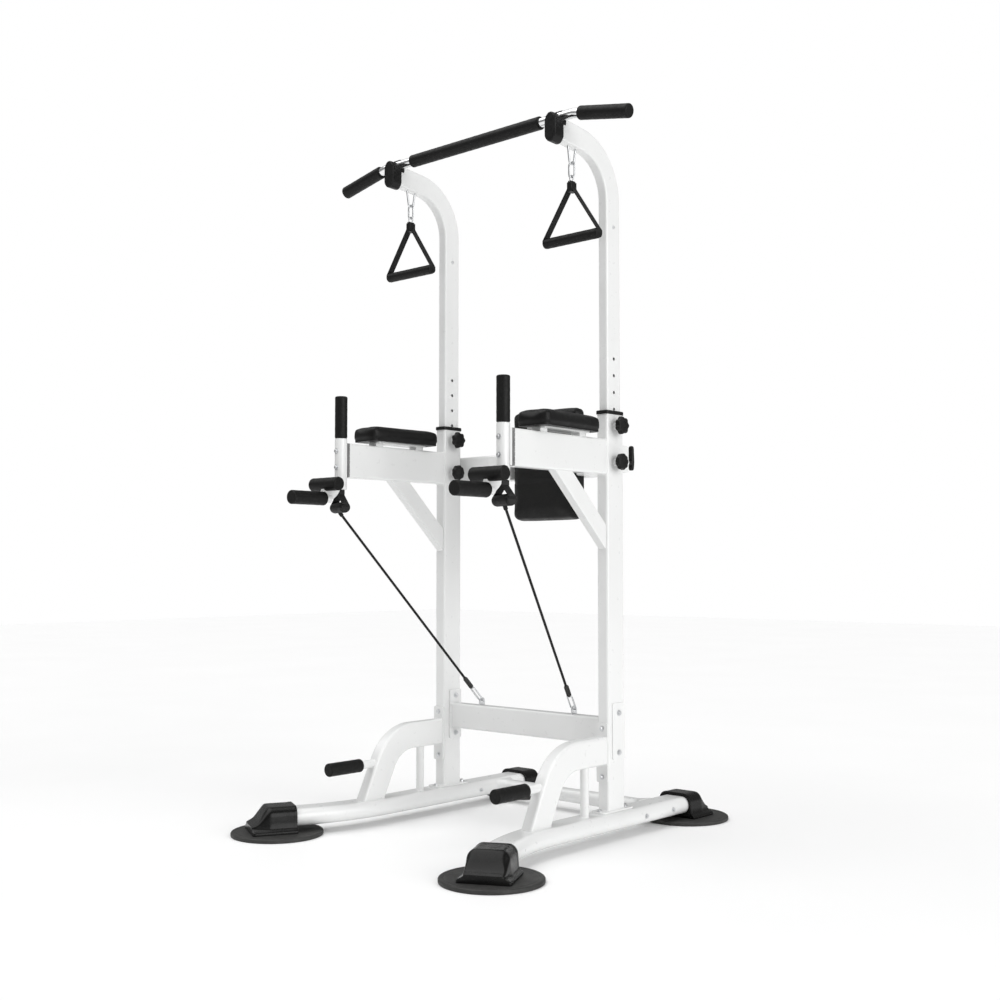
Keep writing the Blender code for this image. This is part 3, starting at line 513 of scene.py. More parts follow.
def relief(look, node, strength, distance):
    """Adds a texture to the look's bump, after any that is there already."""
    tree = look.node_tree
    bump = tree.nodes.new("ShaderNodeBump")
    bump.inputs["Strength"].default_value = strength
    bump.inputs["Distance"].default_value = distance
    tree.links.new(value_of(node), bump.inputs["Height"])
    before = tree.nodes["Principled BSDF"].inputs["Normal"].links
    if before:
        tree.links.new(before[0].from_socket, bump.inputs["Normal"])
    drive(look, "Normal", bump.outputs["Normal"])


def surface_look(name, base, shades, rough, reliefs, **sockets):
    """A look from a table.

    base: colour and roughness. shades: dark, light, scale, texture and its values.
    rough: low, high and scale. reliefs: texture, scale, strength, distance and the texture's values.
    """
    look = new_look(name, *base, **sockets)
    dark, light, scale, kind, values = shades
    vary_colour(look, dark, light, scale, kind, **values)
    if rough:
        low, high, scale = rough
        vary_roughness(look, texture(look, "Noise", scale, Detail=4.0), low, high)
    for kind, scale, strength, distance, values in reliefs:
        relief(look, texture(look, kind, scale, **values), strength, distance)
    return look


def make_rubber(name, dark, light, roughness):
    rough = (roughness - 0.08, roughness + 0.08, 18.0)
    reliefs = (("Voronoi", 950.0, 0.22, 0.0005, {}), ("Noise", 55.0, 0.12, 0.0012, {"Detail": 3.0}))
    return surface_look(name, (light, roughness), (dark, light, 45.0, "Noise", {"Detail": 6.0}), rough, reliefs)


def make_metal(name, colour, low, high, scale, streak=(1, 1, 1)):
    look = new_look(name, colour, (low + high) / 2, Metallic=1.0)
    darker = tuple(part * 0.9 for part in colour)
    vary_colour(look, darker, colour, scale, stretch=streak, Detail=4.0)
    node = texture(look, "Noise", scale * 2, stretch=streak, Detail=5.0)
    vary_roughness(look, node, low, high, (0, 1))
    relief(look, node, 0.05, 0.0002)
    return look


DEEP_BLACK = (0.003, 0.003, 0.003)
SOFT_BLACK = (0.008, 0.008, 0.0078)
WHITE = surface_look(
    "white_powder", ((0.8, 0.805, 0.8), 0.3),
    ((0.785, 0.79, 0.785), (0.805, 0.81, 0.805), 5.0, "Noise", {"Detail": 3.0}), (0.27, 0.33, 60.0),
    (("Noise", 500.0, 0.06, 0.0003, {"Detail": 1.0}),), Coat_Weight=0.5, Coat_Roughness=0.08)
FOAM = surface_look(
    "nbr_foam", ((0.006, 0.006, 0.0055), 0.5),
    (DEEP_BLACK, (0.008, 0.008, 0.0075), 260.0, "Noise", {"Detail": 5.0}), (0.42, 0.6, 90.0),
    (("Voronoi", 1500.0, 0.16, 0.0004, {}), ("Noise", 130.0, 0.1, 0.001, {"Detail": 4.0})), Specular_IOR_Level=0.2)
GLOSS = surface_look(
    "gloss_plastic", ((0.004, 0.004, 0.004), 0.25),
    (DEEP_BLACK, (0.006, 0.006, 0.0055), 12.0, "Noise", {"Detail": 4.0}), (0.2, 0.32, 35.0),
    (("Noise", 900.0, 0.08, 0.0003, {"Detail": 2.0}),), Specular_IOR_Level=0.2, Coat_Weight=0.03, Coat_Roughness=0.1)
KNOB = surface_look(
    "knob_plastic", ((0.006, 0.006, 0.006), 0.4),
    ((0.004, 0.004, 0.004), SOFT_BLACK, 60.0, "Noise", {"Detail": 4.0}), (0.34, 0.48, 120.0),
    (("Voronoi", 1800.0, 0.14, 0.0003, {}),), Specular_IOR_Level=0.24)
RUBBER = make_rubber("disc_rubber", (0.016, 0.016, 0.015), (0.03, 0.03, 0.028), 0.6)
GREY = make_rubber("saddle_rubber", (0.13, 0.13, 0.13), (0.2, 0.2, 0.2), 0.5)
VINYL = surface_look(
    "black_vinyl", ((0.005, 0.005, 0.005), 0.42), (DEEP_BLACK, SOFT_BLACK, 520.0, "Voronoi", {}), (0.36, 0.5, 60.0),
    (("Voronoi", 520.0, 0.35, 0.0006, {"feature": "DISTANCE_TO_EDGE"}),
     ("Noise", 26.0, 0.15, 0.003, {"Detail": 3.0})),
    Specular_IOR_Level=0.2)
WEBBING = surface_look(
    "black_webbing", ((0.006, 0.006, 0.006), 0.7), (DEEP_BLACK, (0.01, 0.01, 0.0098), 700.0, "Voronoi", {}), None,
    (("Wave", 130.0, 0.55, 0.0008, {"bands_direction": "Y"}), ("Wave", 240.0, 0.4, 0.0006, {"bands_direction": "Z"})),
    Specular_IOR_Level=0.3)
CHROME = make_metal("chrome", (0.86, 0.865, 0.87), 0.08, 0.18, 60.0, (0.05, 1, 1))
ZINC = make_metal("zinc", (0.7, 0.71, 0.72), 0.22, 0.38, 300.0)


# Camera, ropes and stage.


def add_camera():
    data = bpy.data.cameras.new("camera")
    data.lens = 46.005
    data.sensor_width = 36
    data.clip_end = 60
    camera = bpy.data.objects.new("camera", data)
    camera.location = (2.6026, UPRIGHT_Y - 3.0331, 0.7886)
    camera.rotation_euler = (radians(92.9743), 0, radians(41.7474))
    SCENE.collection.objects.link(camera)
    SCENE.camera = camera


def braid(start, end, radius, sides=16, pitch=0.011, depth=0.055):
    """A straight rope whose surface carries a two-way braid. Returns the shape and its middle line."""
    way = (end - start).normalized()
    across = way.orthogonal().normalized()
    other = way.cross(across)
    length = (end - start).length
    count = int(length / 0.0016)
    loops = []
    for step in range(count + 1):
        place = length * step / count
        twist = 2 * pi * place / pitch
        ring = []
        for turn in [2 * pi * side / sides for side in range(sides)]:
            strands = sin(4 * turn + twist) * sin(4 * turn - twist)
            size = radius * (1 - depth * (1 - strands) / 2)
            ring.append(start + way * place + (across * cos(turn) + other * sin(turn)) * size)
        loops.append(ring)
    return loft(loops), [start + way * (length * step / 24) for step in range(25)]


def rope_way():
    return (ROPE_TOP - ROPE_EYE).normalized()


def add_ropes():
    way = rope_way()
    start = ROPE_EYE + way * (ROPE_START + GAP)
    end = ROPE_TOP - way * GAP
    for side, sign in SIDES:
        shape, line = braid(start, end, ROPE_RADIUS)
        piece = keep(f"rope_{side}_look", on_side(shape, sign), WEBBING, nodes=(f"rope_{side}",), smooth=60)


def add_stage():
    floor = bpy.data.meshes.new("floor")
    half = 14.0
    corners = [(-half, -half, 0), (half, -half, 0), (half, half, 0), (-half, half, 0)]
    floor.from_pydata(corners, [], [(0, 1, 2, 3)])
    ground = bpy.data.objects.new("floor", floor)
    look = new_look("floor", (0.97, 0.97, 0.97), 0.6)
    vary_colour(look, (0.965, 0.965, 0.965), (0.98, 0.98, 0.98), 1.5, Detail=2.0)
    floor.materials.append(look)
    SCENE.collection.objects.link(ground)
    world = bpy.data.worlds.new("studio")
    world.use_nodes = True
    tree = world.node_tree
    glow = tree.nodes["Background"]
    seen = tree.nodes.new("ShaderNodeBackground")
    rays = tree.nodes.new("ShaderNodeLightPath")
    either = tree.nodes.new("ShaderNodeMixShader")
    for node, strength in ((glow, 0.28), (seen, 1.0)):
        node.inputs["Color"].default_value = (1.0, 1.0, 1.0, 1)
        node.inputs["Strength"].default_value = strength
    tree.links.new(rays.outputs["Is Camera Ray"], either.inputs["Fac"])
    tree.links.new(glow.outputs["Background"], either.inputs[1])
    tree.links.new(seen.outputs["Background"], either.inputs[2])
    tree.links.new(either.outputs["Shader"], tree.nodes["World Output"].inputs["Surface"])
    SCENE.world = world
    SCENE.view_settings.view_transform = "Standard"
    suns = (
        ("top_light", (-0.25, -0.32, 1.0), 2.2, 70),
        ("side_light", (1.0, 0.0, 0.3), 1.85, 50),
    )
    for name, way, strength, spread in suns:
        data = bpy.data.lights.new(name, "SUN")
        data.energy = strength
        data.angle = radians(spread)
        lamp = bpy.data.objects.new(name, data)
        lamp.rotation_euler = Vector(way).to_track_quat("Z", "Y").to_euler()
        SCENE.collection.objects.link(lamp)


# Fasteners.


def hex_body(place, way, size, washer, levels):
    """A washer and a hex body, standing on a surface at place and facing way."""
    side = way.orthogonal().normalized()
    loops = [placed(circle(size * scale, 6), place + way * (0.0016 + size * rise), side, way.cross(side))
             for rise, scale in levels]
    return [turned(place - way * 0.001, way, rims(0.0026, size * washer, 0.0004, 2), 28), loft(loops)]


def bolt(place, way, size=0.0062):
    place = Vector(place)
    face = turned(place + way * (0.0016 + size * 0.78), way, ((0, size * 0.55), (size * 0.06, size * 0.5)), 20)
    return [*hex_body(place, way, size, 1.45, ((0, 1), (0.62, 1), (0.8, 0.86))), face]


def nut(place, way, size=0.0062):
    """A domed nut on its washer."""
    place = Vector(place)
    top = turned(place + way * (0.0016 + size * 0.8), way, dome(size * 0.72, size * 0.75), 24)
    return [*hex_body(place, way, size, 1.4, ((0, 1), (0.7, 1), (0.85, 0.88))), top]


def screw(place, way, size=0.0058):
    """A domed screw head with a small raised hex."""
    place = Vector(place)
    head = turned(place - way * 0.0004, way, dome(size, size * 0.5, 0.75), 28)
    return [head, turned(place + way * size * 0.44, way, ((0, size * 0.3), (0.0004, size * 0.28)), 6)]


def add_bolts():
    """Heads and nuts on the right, mirrored to the left where the joint is mirrored."""
    outer = HALF_WIDTH + TUBE_X / 2 + 0.003
    inner = HALF_WIDTH - TUBE_X / 2 - 0.005
    front = -TUBE_Y / 2 - 0.0053
    rail_side = RAIL_WIDTH / 2 - 0.0004
    for side, sign in SIDES:
        base = [
            *[bolt((outer, BASE_BAR_Y, height), X) for height in (0.361, 0.2465)],
            *[nut((inner, BASE_BAR_Y + 0.003, height), -X) for height in (0.3685, 0.2475)],
            *[bolt((HALF_WIDTH, front, height), -Y, 0.0058) for height in (0.3185, 0.1795)],
            *[bolt((HALF_WIDTH, place, RAIL_TOP + 0.0053), Z, 0.0058) for place in (-0.057, 0.064)],
            *[bolt((HALF_WIDTH + rail_side, place, RAIL_Z), X, 0.0052) for place in (0.106, 0.245)],
            nut((HALF_WIDTH - rail_side, 0.106, RAIL_Z), -X, 0.005),
        ]
        arms = [
            *[bolt((POST_X, POST_Y - POST_RADIUS + 0.0006, height), -Y, 0.0056) for height in (1.1365, 1.0875)],
            *[nut((HALF_WIDTH, TUBE_Y / 2 - 0.0002, height), Y, 0.0056) for height in (1.03, 0.89)],
        ]
        for name, parts in (("base_bolts", base), ("arm_bolts", arms)):
            shape = joined(*[shape for part in parts for shape in part])
            keep(f"{name}_{side}", on_side(shape, sign), ZINC, smooth=25)
    for side, sign in SIDES:
        middle = Vector((sign * HALF_WIDTH, 0, 1.7985))
        heads = [*screw(middle + X * MAST_X / 2, X), *screw(middle - X * MAST_X / 2, -X)]
        keep(f"mast_screws_{side}", joined(*heads), ZINC, "mast", smooth=25)


# Floor frame.


def rail_direction():
    return (FRONT_DISC - Vector((HALF_WIDTH, RAIL_BEND_Y))).normalized()


def disc(centre):
    edge = DISC_RADIUS
    profile = (
        (0.0, edge - 0.0025), (0.0006, edge - 0.0008), (0.002, edge), (0.0085, edge), (0.0106, edge - 0.001),
        (0.0118, edge - 0.003), (0.012, edge - 0.0055), (0.0119, edge - 0.012), (0.0112, edge - 0.013),
        (0.0111, edge - 0.015), (0.0117, edge - 0.0162), (0.0119, edge - 0.02), (0.0119, 0.03), (0.0119, 0.0),
    )
    return turned((centre.x, centre.y, 0), Z, profile, 128)


def boot_outline(neck, skirt, height):
    """Half of a boot's cross-section above the disc, from the skirt up to the top's middle."""
    shoulder = min(0.026, (height - 0.018) * 0.6)
    wall = height - shoulder
    half = [(skirt, 0.0), (skirt, 0.005), (skirt - 0.001, 0.0082), (skirt - 0.0045, 0.0108), (neck + 0.005, 0.0132),
            (neck + 0.0012, 0.017), (neck, 0.017 + (wall - 0.017) * 0.5)]
    half += [(neck - shoulder * (0.05 + 0.95 * (1 - cos(turn))), wall + shoulder * sin(turn)) for turn in quarter(6)]
    return [*half, (neck * 0.2, height)]


def boot(centre, direction, lengths):
    """A moulded cap on a rail's end, with a lip round its mouth. lengths: nose, crest and mouth."""
    nose, crest, mouth = lengths
    neck, skirt = BOOT_NECK, BOOT_SKIRT
    base = DISC_THICK + GAP
    top = BOOT_TOP - base
    stations = [(nose, 0.048, 0.065, 0.0205), (nose + 0.001, 0.05, 0.0685, 0.0215),
                (nose + 0.003, 0.0515, 0.0703, 0.023), (nose + 0.006, 0.0525, skirt, 0.025)]
    for share, rise in ((0.2, 0.362), (0.3, 0.4), (0.4, 0.462), (0.5, 0.555), (0.6, 0.665),
                        (0.7, 0.775), (0.8, 0.872), (0.88, 0.935), (0.95, 0.98)):
        stations.append((nose + (crest - nose) * share, 0.053 + 0.0048 * share, skirt, top * rise))
    stations += [
        (crest + 0.001, neck, skirt, top - 0.0004), (crest + 0.007, neck, skirt, top),
        (mouth - 0.011, neck, skirt, top), (mouth - 0.01, neck + 0.0006, skirt, top + 0.0006),
        (mouth - 0.001, neck + 0.0006, skirt, top + 0.0006), (mouth, neck - 0.0004, skirt - 0.001, top - 0.0004),
        (mouth, neck - 0.004, skirt - 0.005, top - 0.005),
        (mouth - 0.004, neck - 0.0045, skirt - 0.0055, top - 0.0055),
    ]
    across = Vector((-direction.y, direction.x, 0))
    along = Vector((direction.x, direction.y, 0))
    loops = []
    for place, *sizes in stations:
        half = boot_outline(*sizes)
        outline = half + [(-u, v) for u, v in reversed(half)]
        loops.append(placed(outline, Vector((centre.x, centre.y, base)) - along * place, across, Z))
    return loft(loops)


def rail_tube(path):
    bore = flat_oval(RAIL_WIDTH - 2 * WALL, RAIL_HEIGHT - 2 * WALL)
    return sweep(path, Z, flat_oval(RAIL_WIDTH, RAIL_HEIGHT), bore)


def floor_rail():
    end = FRONT_DISC - rail_direction() * RAIL_IN_BOOT
    corners = ((HALF_WIDTH, RAIL_SEAM_Y - GAP, RAIL_Z), (HALF_WIDTH, RAIL_BEND_Y, RAIL_Z), (end.x, end.y, RAIL_Z))
    return rail_tube(filleted(corners, RAIL_BEND_RADIUS, 24))


def rear_frame():
    """Both rear legs, and the cross tube that flares out where it meets them."""
    shapes = []
    inner = HALF_WIDTH - RAIL_WIDTH / 2
    for sign in (1, -1):
        x = sign * HALF_WIDTH
        shapes.append(rail_tube(((x, RAIL_SEAM_Y, RAIL_Z), (x, REAR_DISC.y - RAIL_IN_BOOT, RAIL_Z))))
        loops = []
        for share in [step / 8 for step in range(9)]:
            flare = 0.02 * (1 - sin(pi / 2 * share))
            section = flat_oval(REAR_BAR_WIDTH + 2 * flare, REAR_BAR_HEIGHT + 0.004 * (1 - share))
            loops.append(placed(section, (sign * (inner + 0.006 - 0.03 * share), REAR_BAR_Y, RAIL_Z), Y, Z))
        shapes.append(loft(loops))
    ends = [(x, REAR_BAR_Y, RAIL_Z) for x in (0.05 - HALF_WIDTH, HALF_WIDTH - 0.05)]
    return joined(*shapes, sweep(ends, Z, flat_oval(REAR_BAR_WIDTH, REAR_BAR_HEIGHT)))


def strut():
    face = -TUBE_Y / 2 - GAP
    fall = Vector((0, -cos(STRUT_FALL), -sin(STRUT_FALL)))
    corner = Vector((HALF_WIDTH, STRUT_BEND_Y - STRUT_BEND_RADIUS * tan(STRUT_FALL / 2), STRUT_Z))
    foot = corner + fall * ((corner.z - RAIL_TOP + 0.04) / -fall.z)
    path = filleted(((HALF_WIDTH, face - 0.002, STRUT_Z), corner, foot), STRUT_BEND_RADIUS, 18)
    reach = corner + fall * ((corner.z - RAIL_TOP) / -fall.z)
    foot_outline = rounded_rect(TUBE_X, TUBE_Y / sin(STRUT_FALL), 0.009)
    flange_places = [(HALF_WIDTH, face - shift, 0.249) for shift in (0, 0.005)]
    post_ends = [(HALF_WIDTH, STUB_POST_Y, z) for z in (RAIL_TOP - 0.002, STRUT_Z - TUBE_Y / 2 + 0.002)]
    stub_ends = [(HALF_WIDTH, y, PUSH_UP_Z) for y in (-0.31, -0.505)]
    return joined(
        cut_below(sweep(path, X, rounded_rect(TUBE_Y, TUBE_X, 0.008)), RAIL_TOP - 0.004),
        prism(rounded_rect(TUBE_X, 0.172, 0.006), flange_places, X, Z),
        rod(*post_ends, STUB_RADIUS),
        rod(*stub_ends, STUB_RADIUS),
        weld(rounded_rect(TUBE_X, TUBE_Y, 0.008), (HALF_WIDTH, face - 0.0052, STRUT_Z), Y, X, Z),
        weld(foot_outline, reach + Z * 0.0004, Z, radius=0.0024),
        weld(circle(STUB_RADIUS, 28), (HALF_WIDTH, STUB_POST_Y, RAIL_TOP + 0.0003), Z, radius=0.0018),
    )


def sleeve(start, along, length, radius, edge=0.0045):
    """A foam grip with rounded rims and a faintly uneven surface."""
    profile = rims(length, radius, edge, 6)
    middle = []
    steps = max(4, int(length / 0.012))
    for step in range(1, steps):
        place = edge + (length - 2 * edge) * step / steps
        middle.append((place, radius - 0.00018 * (1 + sin(step * 2.4))))
    half = len(profile) // 2
    return turned(start, along, [*profile[:half], *middle, *profile[half:]], 56)


# Uprights and mast.


def lower_upright(centre):
    sign = copysign(1, centre)
    low = RAIL_TOP + GAP
    face = centre + TUBE_X / 2
    outline = rounded_rect(TUBE_X, TUBE_Y, 0.008)
    inner = rounded_rect(TUBE_X - 2 * WALL, TUBE_Y - 2 * WALL, 0.006)
    return joined(
        prism(outline, [(centre, 0, level) for level in (low + 0.001, UPRIGHT_TOP)], bore=inner),
        prism(rounded_rect(0.05, 0.15, 0.012), [(centre, 0.004, level) for level in (low, low + 0.005)]),
        plate((centre + sign * (TUBE_X / 2 - 0.0005), BASE_BAR_Y, 0.3085), 0.059, 0.163, sign * 0.0035),
        *[rod((face - 0.001, 0, height), (face + 0.008, 0, height), 0.011, edge=0.001)
          for height in (PULL_KNOB_Z, CLAMP_KNOB_Z)],
        weld(outline, (centre, 0, low + 0.0053), Z),
    )


def collar(centre):
    stations = (
        (UPRIGHT_TOP - 0.015, 0.0354, 0.0754), (UPRIGHT_TOP + 0.0003, 0.0354, 0.0754),
        (UPRIGHT_TOP + 0.0003, 0.044, 0.086), (COLLAR_TOP - 0.0022, 0.044, 0.086),
        (COLLAR_TOP - 0.0006, 0.0428, 0.0848), (COLLAR_TOP, 0.041, 0.083),
    )
    bore = rounded_rect(MAST_X + 2 * GAP, MAST_Y + 2 * GAP, 0.0063)
    return tapered(stations, 0.0085, (centre, 0, 0), bore=bore)


def mast_path(centre, steps=30):
    path = [(centre, 0, MAST_BOTTOM)]
    for y, z in arc(MAST_BEND, -MAST_BEND.x, 0, MAST_BEND_ANGLE, steps):
        path.append((centre, y, z))
    last = path[-1]
    path.append((centre, MAST_FRONT_Y, last[2] + (last[1] - MAST_FRONT_Y) / tan(MAST_BEND_ANGLE)))
    return path


def mast_height(y):
    last = mast_path(0)[-2]
    return last[2] + (last[1] - y) / tan(MAST_BEND_ANGLE)


def add_masts():
    """Each mast tube with its seven holes drilled through the outer wall, and its hanger."""
    outline = rounded_rect(MAST_Y, MAST_X, 0.006)
    bore = rounded_rect(MAST_Y - 2 * WALL, MAST_X - 2 * WALL, 0.004)
    for side, sign in SIDES:
        centre = sign * HALF_WIDTH
        face = centre + MAST_X / 2
        holes = []
        for height in [PULL_KNOB_Z + 0.05 * step for step in range(-2, 5)]:
            holes.append(rod((face - 0.006, 0, height), (face + 0.006, 0, height), 0.005, 28))
        mast = to_piece(f"mast_tube_{side}_look", sweep(mast_path(centre), X, outline, bore), WHITE)
        cutter = to_piece(f"holes_{side}", joined(*holes), WHITE)
        drilling = mast.modifiers.new("holes", "BOOLEAN")
        drilling.operation = "DIFFERENCE"
        drilling.solver = "EXACT"
        drilling.object = cutter
        bpy.context.view_layer.update()
        settle(mast)
        bpy.data.objects.remove(cutter)
        shade(mast.data)
        mast.modifiers.new("normals", "WEIGHTED_NORMAL").keep_sharp = True
        tie(mast, "mast", (f"mast_tube_{side}",))
        keep(f"hanger_{side}", hanger(centre), ZINC, "mast")


def hanger(centre):
    """The welded bail under the tube's front, in the plane of the tube."""
    top = mast_height(HANGER_Y) - MAST_Y / 2 + 0.004
    corners = [(centre, HANGER_Y + shift, z)
               for shift, z in ((0.018, top), (0.009, HANGER_Z), (-0.009, HANGER_Z), (-0.018, top))]
    return sweep(filleted(corners, 0.006, 8), X, circle(0.003, 16))


def pull_up_bar():
    low = BAR_Z - (BAR_END_X - BAR_BEND_X) * tan(BAR_DROOP)
    corners = [(-BAR_END_X, BAR_Y, low), (-BAR_BEND_X, BAR_Y, BAR_Z),
               (BAR_BEND_X, BAR_Y, BAR_Z), (BAR_END_X, BAR_Y, low)]
    return sweep(filleted(corners, 0.05, 10), Y, circle(BAR_RADIUS, 40), circle(BAR_RADIUS - WALL, 40))


def bar_foam():
    way = Vector((cos(BAR_DROOP), 0, -sin(BAR_DROOP)))
    start = Vector((BAR_BEND_X, BAR_Y, BAR_Z)) + way * ((FOAM_OUTER_X - BAR_BEND_X) / way.x)
    return sleeve(start, way, (BAR_END_X + 0.006 - FOAM_OUTER_X) / way.x, FOAM_RADIUS + 0.0005)


def bar_cap(centre):
    """The clamp over the mast's front end, and the saddle behind it that holds the bar."""
    loops = []
    for shift, half_u, half_v in (
            (0.0, 0.0165, 0.039), (0.0008, 0.018, 0.0405), (0.0024, 0.0196, 0.0421), (0.004, 0.02, 0.0425),
            (0.037, 0.0203, 0.0432), (0.04, 0.0196, 0.0425), (CAP_REAR - CAP_FRONT, 0.018, 0.041)):
        cut_u, cut_v = half_u * 0.62, 0.015
        corners = [(half_u, cut_v - half_v), (half_u, half_v - cut_v)]
        corners += [(half_u - cut_u, half_v), (cut_u - half_u, half_v)]
        corners += [(-u, -v) for u, v in corners]
        loops.append(placed(rounded_corners(corners, 0.007), (centre, CAP_FRONT + shift, CAP_Z), X, Z))
    stations = ((0.002, 0.037, 0.042), (-0.011, 0.037, 0.042), (-0.0135, 0.035, 0.0396), (-0.015, 0.031, 0.035))
    return joined(loft(loops), tapered(stations, 0.006, (centre, CAP_REAR, 2.068), X, Z, steps=4))


def rounded_corners(corners, reach, steps=4):
    """An outline whose corners are each replaced by a short curve."""
    points = []
    for index, corner in enumerate(corners):
        here = Vector(corner)
        before = Vector(corners[index - 1])
        after = Vector(corners[(index + 1) % len(corners)])
        start = here + (before - here).normalized() * min(reach, (before - here).length * 0.45)
        end = here + (after - here).normalized() * min(reach, (after - here).length * 0.45)
        for step in range(steps + 1):
            share = step / steps
            points.append(tuple(start * (1 - share) ** 2 + here * 2 * share * (1 - share) + end * share ** 2))
    return points


# Hanging handles and rope handles.


def link(top, bottom, across, width, radius, count=12):
    """A closed oval of round wire between two wire centres."""
    top, bottom, across = Vector(top), Vector(bottom), Vector(across).normalized()
    along = (top - bottom).normalized()
    bend = width / 2
    middle = (top + bottom) / 2
    half = (top - bottom).length / 2 - bend
    path = []
    for centre, start in ((middle + along * half, 0), (middle - along * half, pi)):
        for step in range(count + 1):
            turn = start + pi * step / count
            path.append(centre + (across * cos(turn) + along * sin(turn)) * bend)
    return sweep(path, across.cross(along), circle(radius, 14), closed=True)


def handle_strap(grip_z, half, top_z):
    """Webbing from the clip down round each end of a grip that is centred on x = y = 0."""
    width, thick = 0.0235, 0.0024
    shapes = []
    for sign in (1, -1):
        corners = [(sign * x, 0, z) for x, z in (
            (0.0035, top_z + 0.018), (0.0045, top_z), (half + 0.0005, grip_z + 0.006),
            (half - 0.0005, grip_z - 0.0005), (half - 0.02, grip_z - 0.0005))]
        path = [*corners[:2], *filleted(corners[1:], 0.0035, 6)[1:]]
        shapes.append(sweep(path, Y, rounded_rect(thick, width, thick * 0.45, 4)))
    return shapes


def grip(z, half, radius):
    return sleeve((0.004 - half, 0, z), X, 2 * half - 0.008, radius, 0.004)


def end_caps(z, half, radius):
    profile = rims(0.0055, radius * 0.93, 0.0022, 4)
    return [turned((sign * (half - 0.0055), 0, z), X * sign, profile, 40) for sign in (1, -1)]


def stitches(start, end, count=9, length=0.0035, radius=0.00045):
    """A row of short threads from start to end."""
    way = (end - start).normalized()
    middles = [start.lerp(end, (index + 0.5) / count) for index in range(count)]
    return [turned(middle - way * length / 2, way, rims(length, radius, radius * 0.7, 2), 6) for middle in middles]


def strap_stitches():
    """Two rows of threads on each side of the hanging strap, near its clip."""
    threads = []
    for way in (1, -1):
        top = Vector((way * 0.0045, 0, HANDLE_CLIP_Z))
        low = Vector((way * GRIP_HALF, 0, GRIP_Z + 0.007))
        out = (low - top).normalized().cross(Y) * -way * 0.0012
        for lane in (out - Y * 0.0085, out + Y * 0.0085):
            threads += stitches(top.lerp(low, 0.04) + lane, top.lerp(low, 0.3) + lane)
    return threads


def webbing_handle(title, stand, body, node, z, half, radius, clip_z, clip_name, clip_size, clip_levels, extra=()):
    """A foam grip with its end caps, the webbing round its ends and the block the webbing runs into.

    extra: more pieces, as name, shapes, look, CAD nodes, rounding and smoothing angle.
    """
    clip = prism(rounded_rect(*clip_size, 0.003), [(0, 0, level) for level in clip_levels])
    for name, shapes, surface, nodes, edge, smooth in (
            ("grip", [grip(z, half, radius)], FOAM, (node,), 0.0, 32),
            ("grip_caps", end_caps(z, half, radius), KNOB, (), 0.0, 32),
            ("strap", handle_strap(z + 0.001, half, clip_z), WEBBING, (), 0.0, 50),
            *extra,
            (clip_name, [clip], KNOB, (), 0.0012, 32)):
        keep(title.format(name), moved(joined(*shapes), stand), surface, body, nodes, edge, smooth)


def add_handles():
    for side, sign in SIDES:
        stand = Matrix.Translation((sign * HALF_WIDTH, HANGER_Y, 0))
        body = f"handle_{side}"
        wire = link(Z * LINK_TOP_Z, Z * LINK_BOTTOM_Z, X, 0.02, 0.0025)
        keep(f"handle_link_{side}_look", moved(wire, stand), ZINC, f"link_{side}", (f"handle_link_{side}",))
        webbing_handle(f"hanging_{{}}_{side}", stand, body, f"hanging_handle_{side}", GRIP_Z, GRIP_HALF,
                       HANDLE_GRIP_RADIUS, HANDLE_CLIP_Z, "clip", (0.0175, 0.0265), (1.868, 1.896),
                       [("stitches", strap_stitches(), WEBBING, (), 0.0, 60)])
        ring = link(Z * 1.917, Z * 1.889, Y, 0.015, 0.0022)
        keep(f"hanging_ring_{side}", moved(ring, stand), ZINC, body)


def add_rope_handles():
    """Short grip on its webbing under the arm's end, and the rope's hook and sleeve below."""
    way = rope_way()
    across = (X - way * way.x).normalized()
    ribs = [(0, 0.005), (0.003, 0.0068)]
    for start in [0.0045 + rib * 0.0058 for rib in range(6)]:
        ribs += [(start, 0.0066), (start + 0.0006, 0.0075), (start + 0.004, 0.0075), (start + 0.0046, 0.0066)]
    ribs += [(0.0405, 0.0062), (0.043, 0.0052)]
    stop_profile = ((0, 0.0045), (0.002, 0.006), (0.01, 0.0062), (0.016, 0.005))
    swivel_profile = ((0, 0.0038), (0.002, 0.005), (0.006, 0.005), (0.008, 0.004))
    gate_ends = [ROPE_EYE + way * distance + across * 0.0088 for distance in (0.014, 0.046)]
    for side, sign in SIDES:
        stand = Matrix.Translation((sign * ROPE_TOP.x, POST_Y, 0)) @ Matrix.Rotation(ROPE_GRIP_TURN, 4, "Z")
        webbing_handle(f"rope_{{}}_{side}", stand, "stand", f"rope_handle_{side}", ROPE_GRIP_Z, ROPE_GRIP_HALF,
                       ROPE_GRIP_RADIUS, 1.006, "buckle", (0.0165, 0.0255), (1.005, 1.0195))
        hook = joined(
            link(ROPE_EYE + way * 0.061, ROPE_EYE + way * 0.0015, across, 0.018, 0.0024),
            rod(*gate_ends, 0.003, 16, edge=0.001),
            turned(ROPE_EYE + way * 0.055, way, swivel_profile, 24),
        )
        for name, shape, surface, nodes in (
                ("stop", turned(ROPE_TOP - way * 0.004, way, stop_profile, 28), KNOB, ()),
                ("hook", hook, ZINC, (f"rope_clip_{side}",)),
                ("sleeve", turned(ROPE_EYE + way * (ROPE_START - 0.0425), way, ribs, 32), RUBBER, ())):
            keep(f"rope_{name}_{side}", on_side(shape, sign), surface, nodes=nodes)


# Knobs.


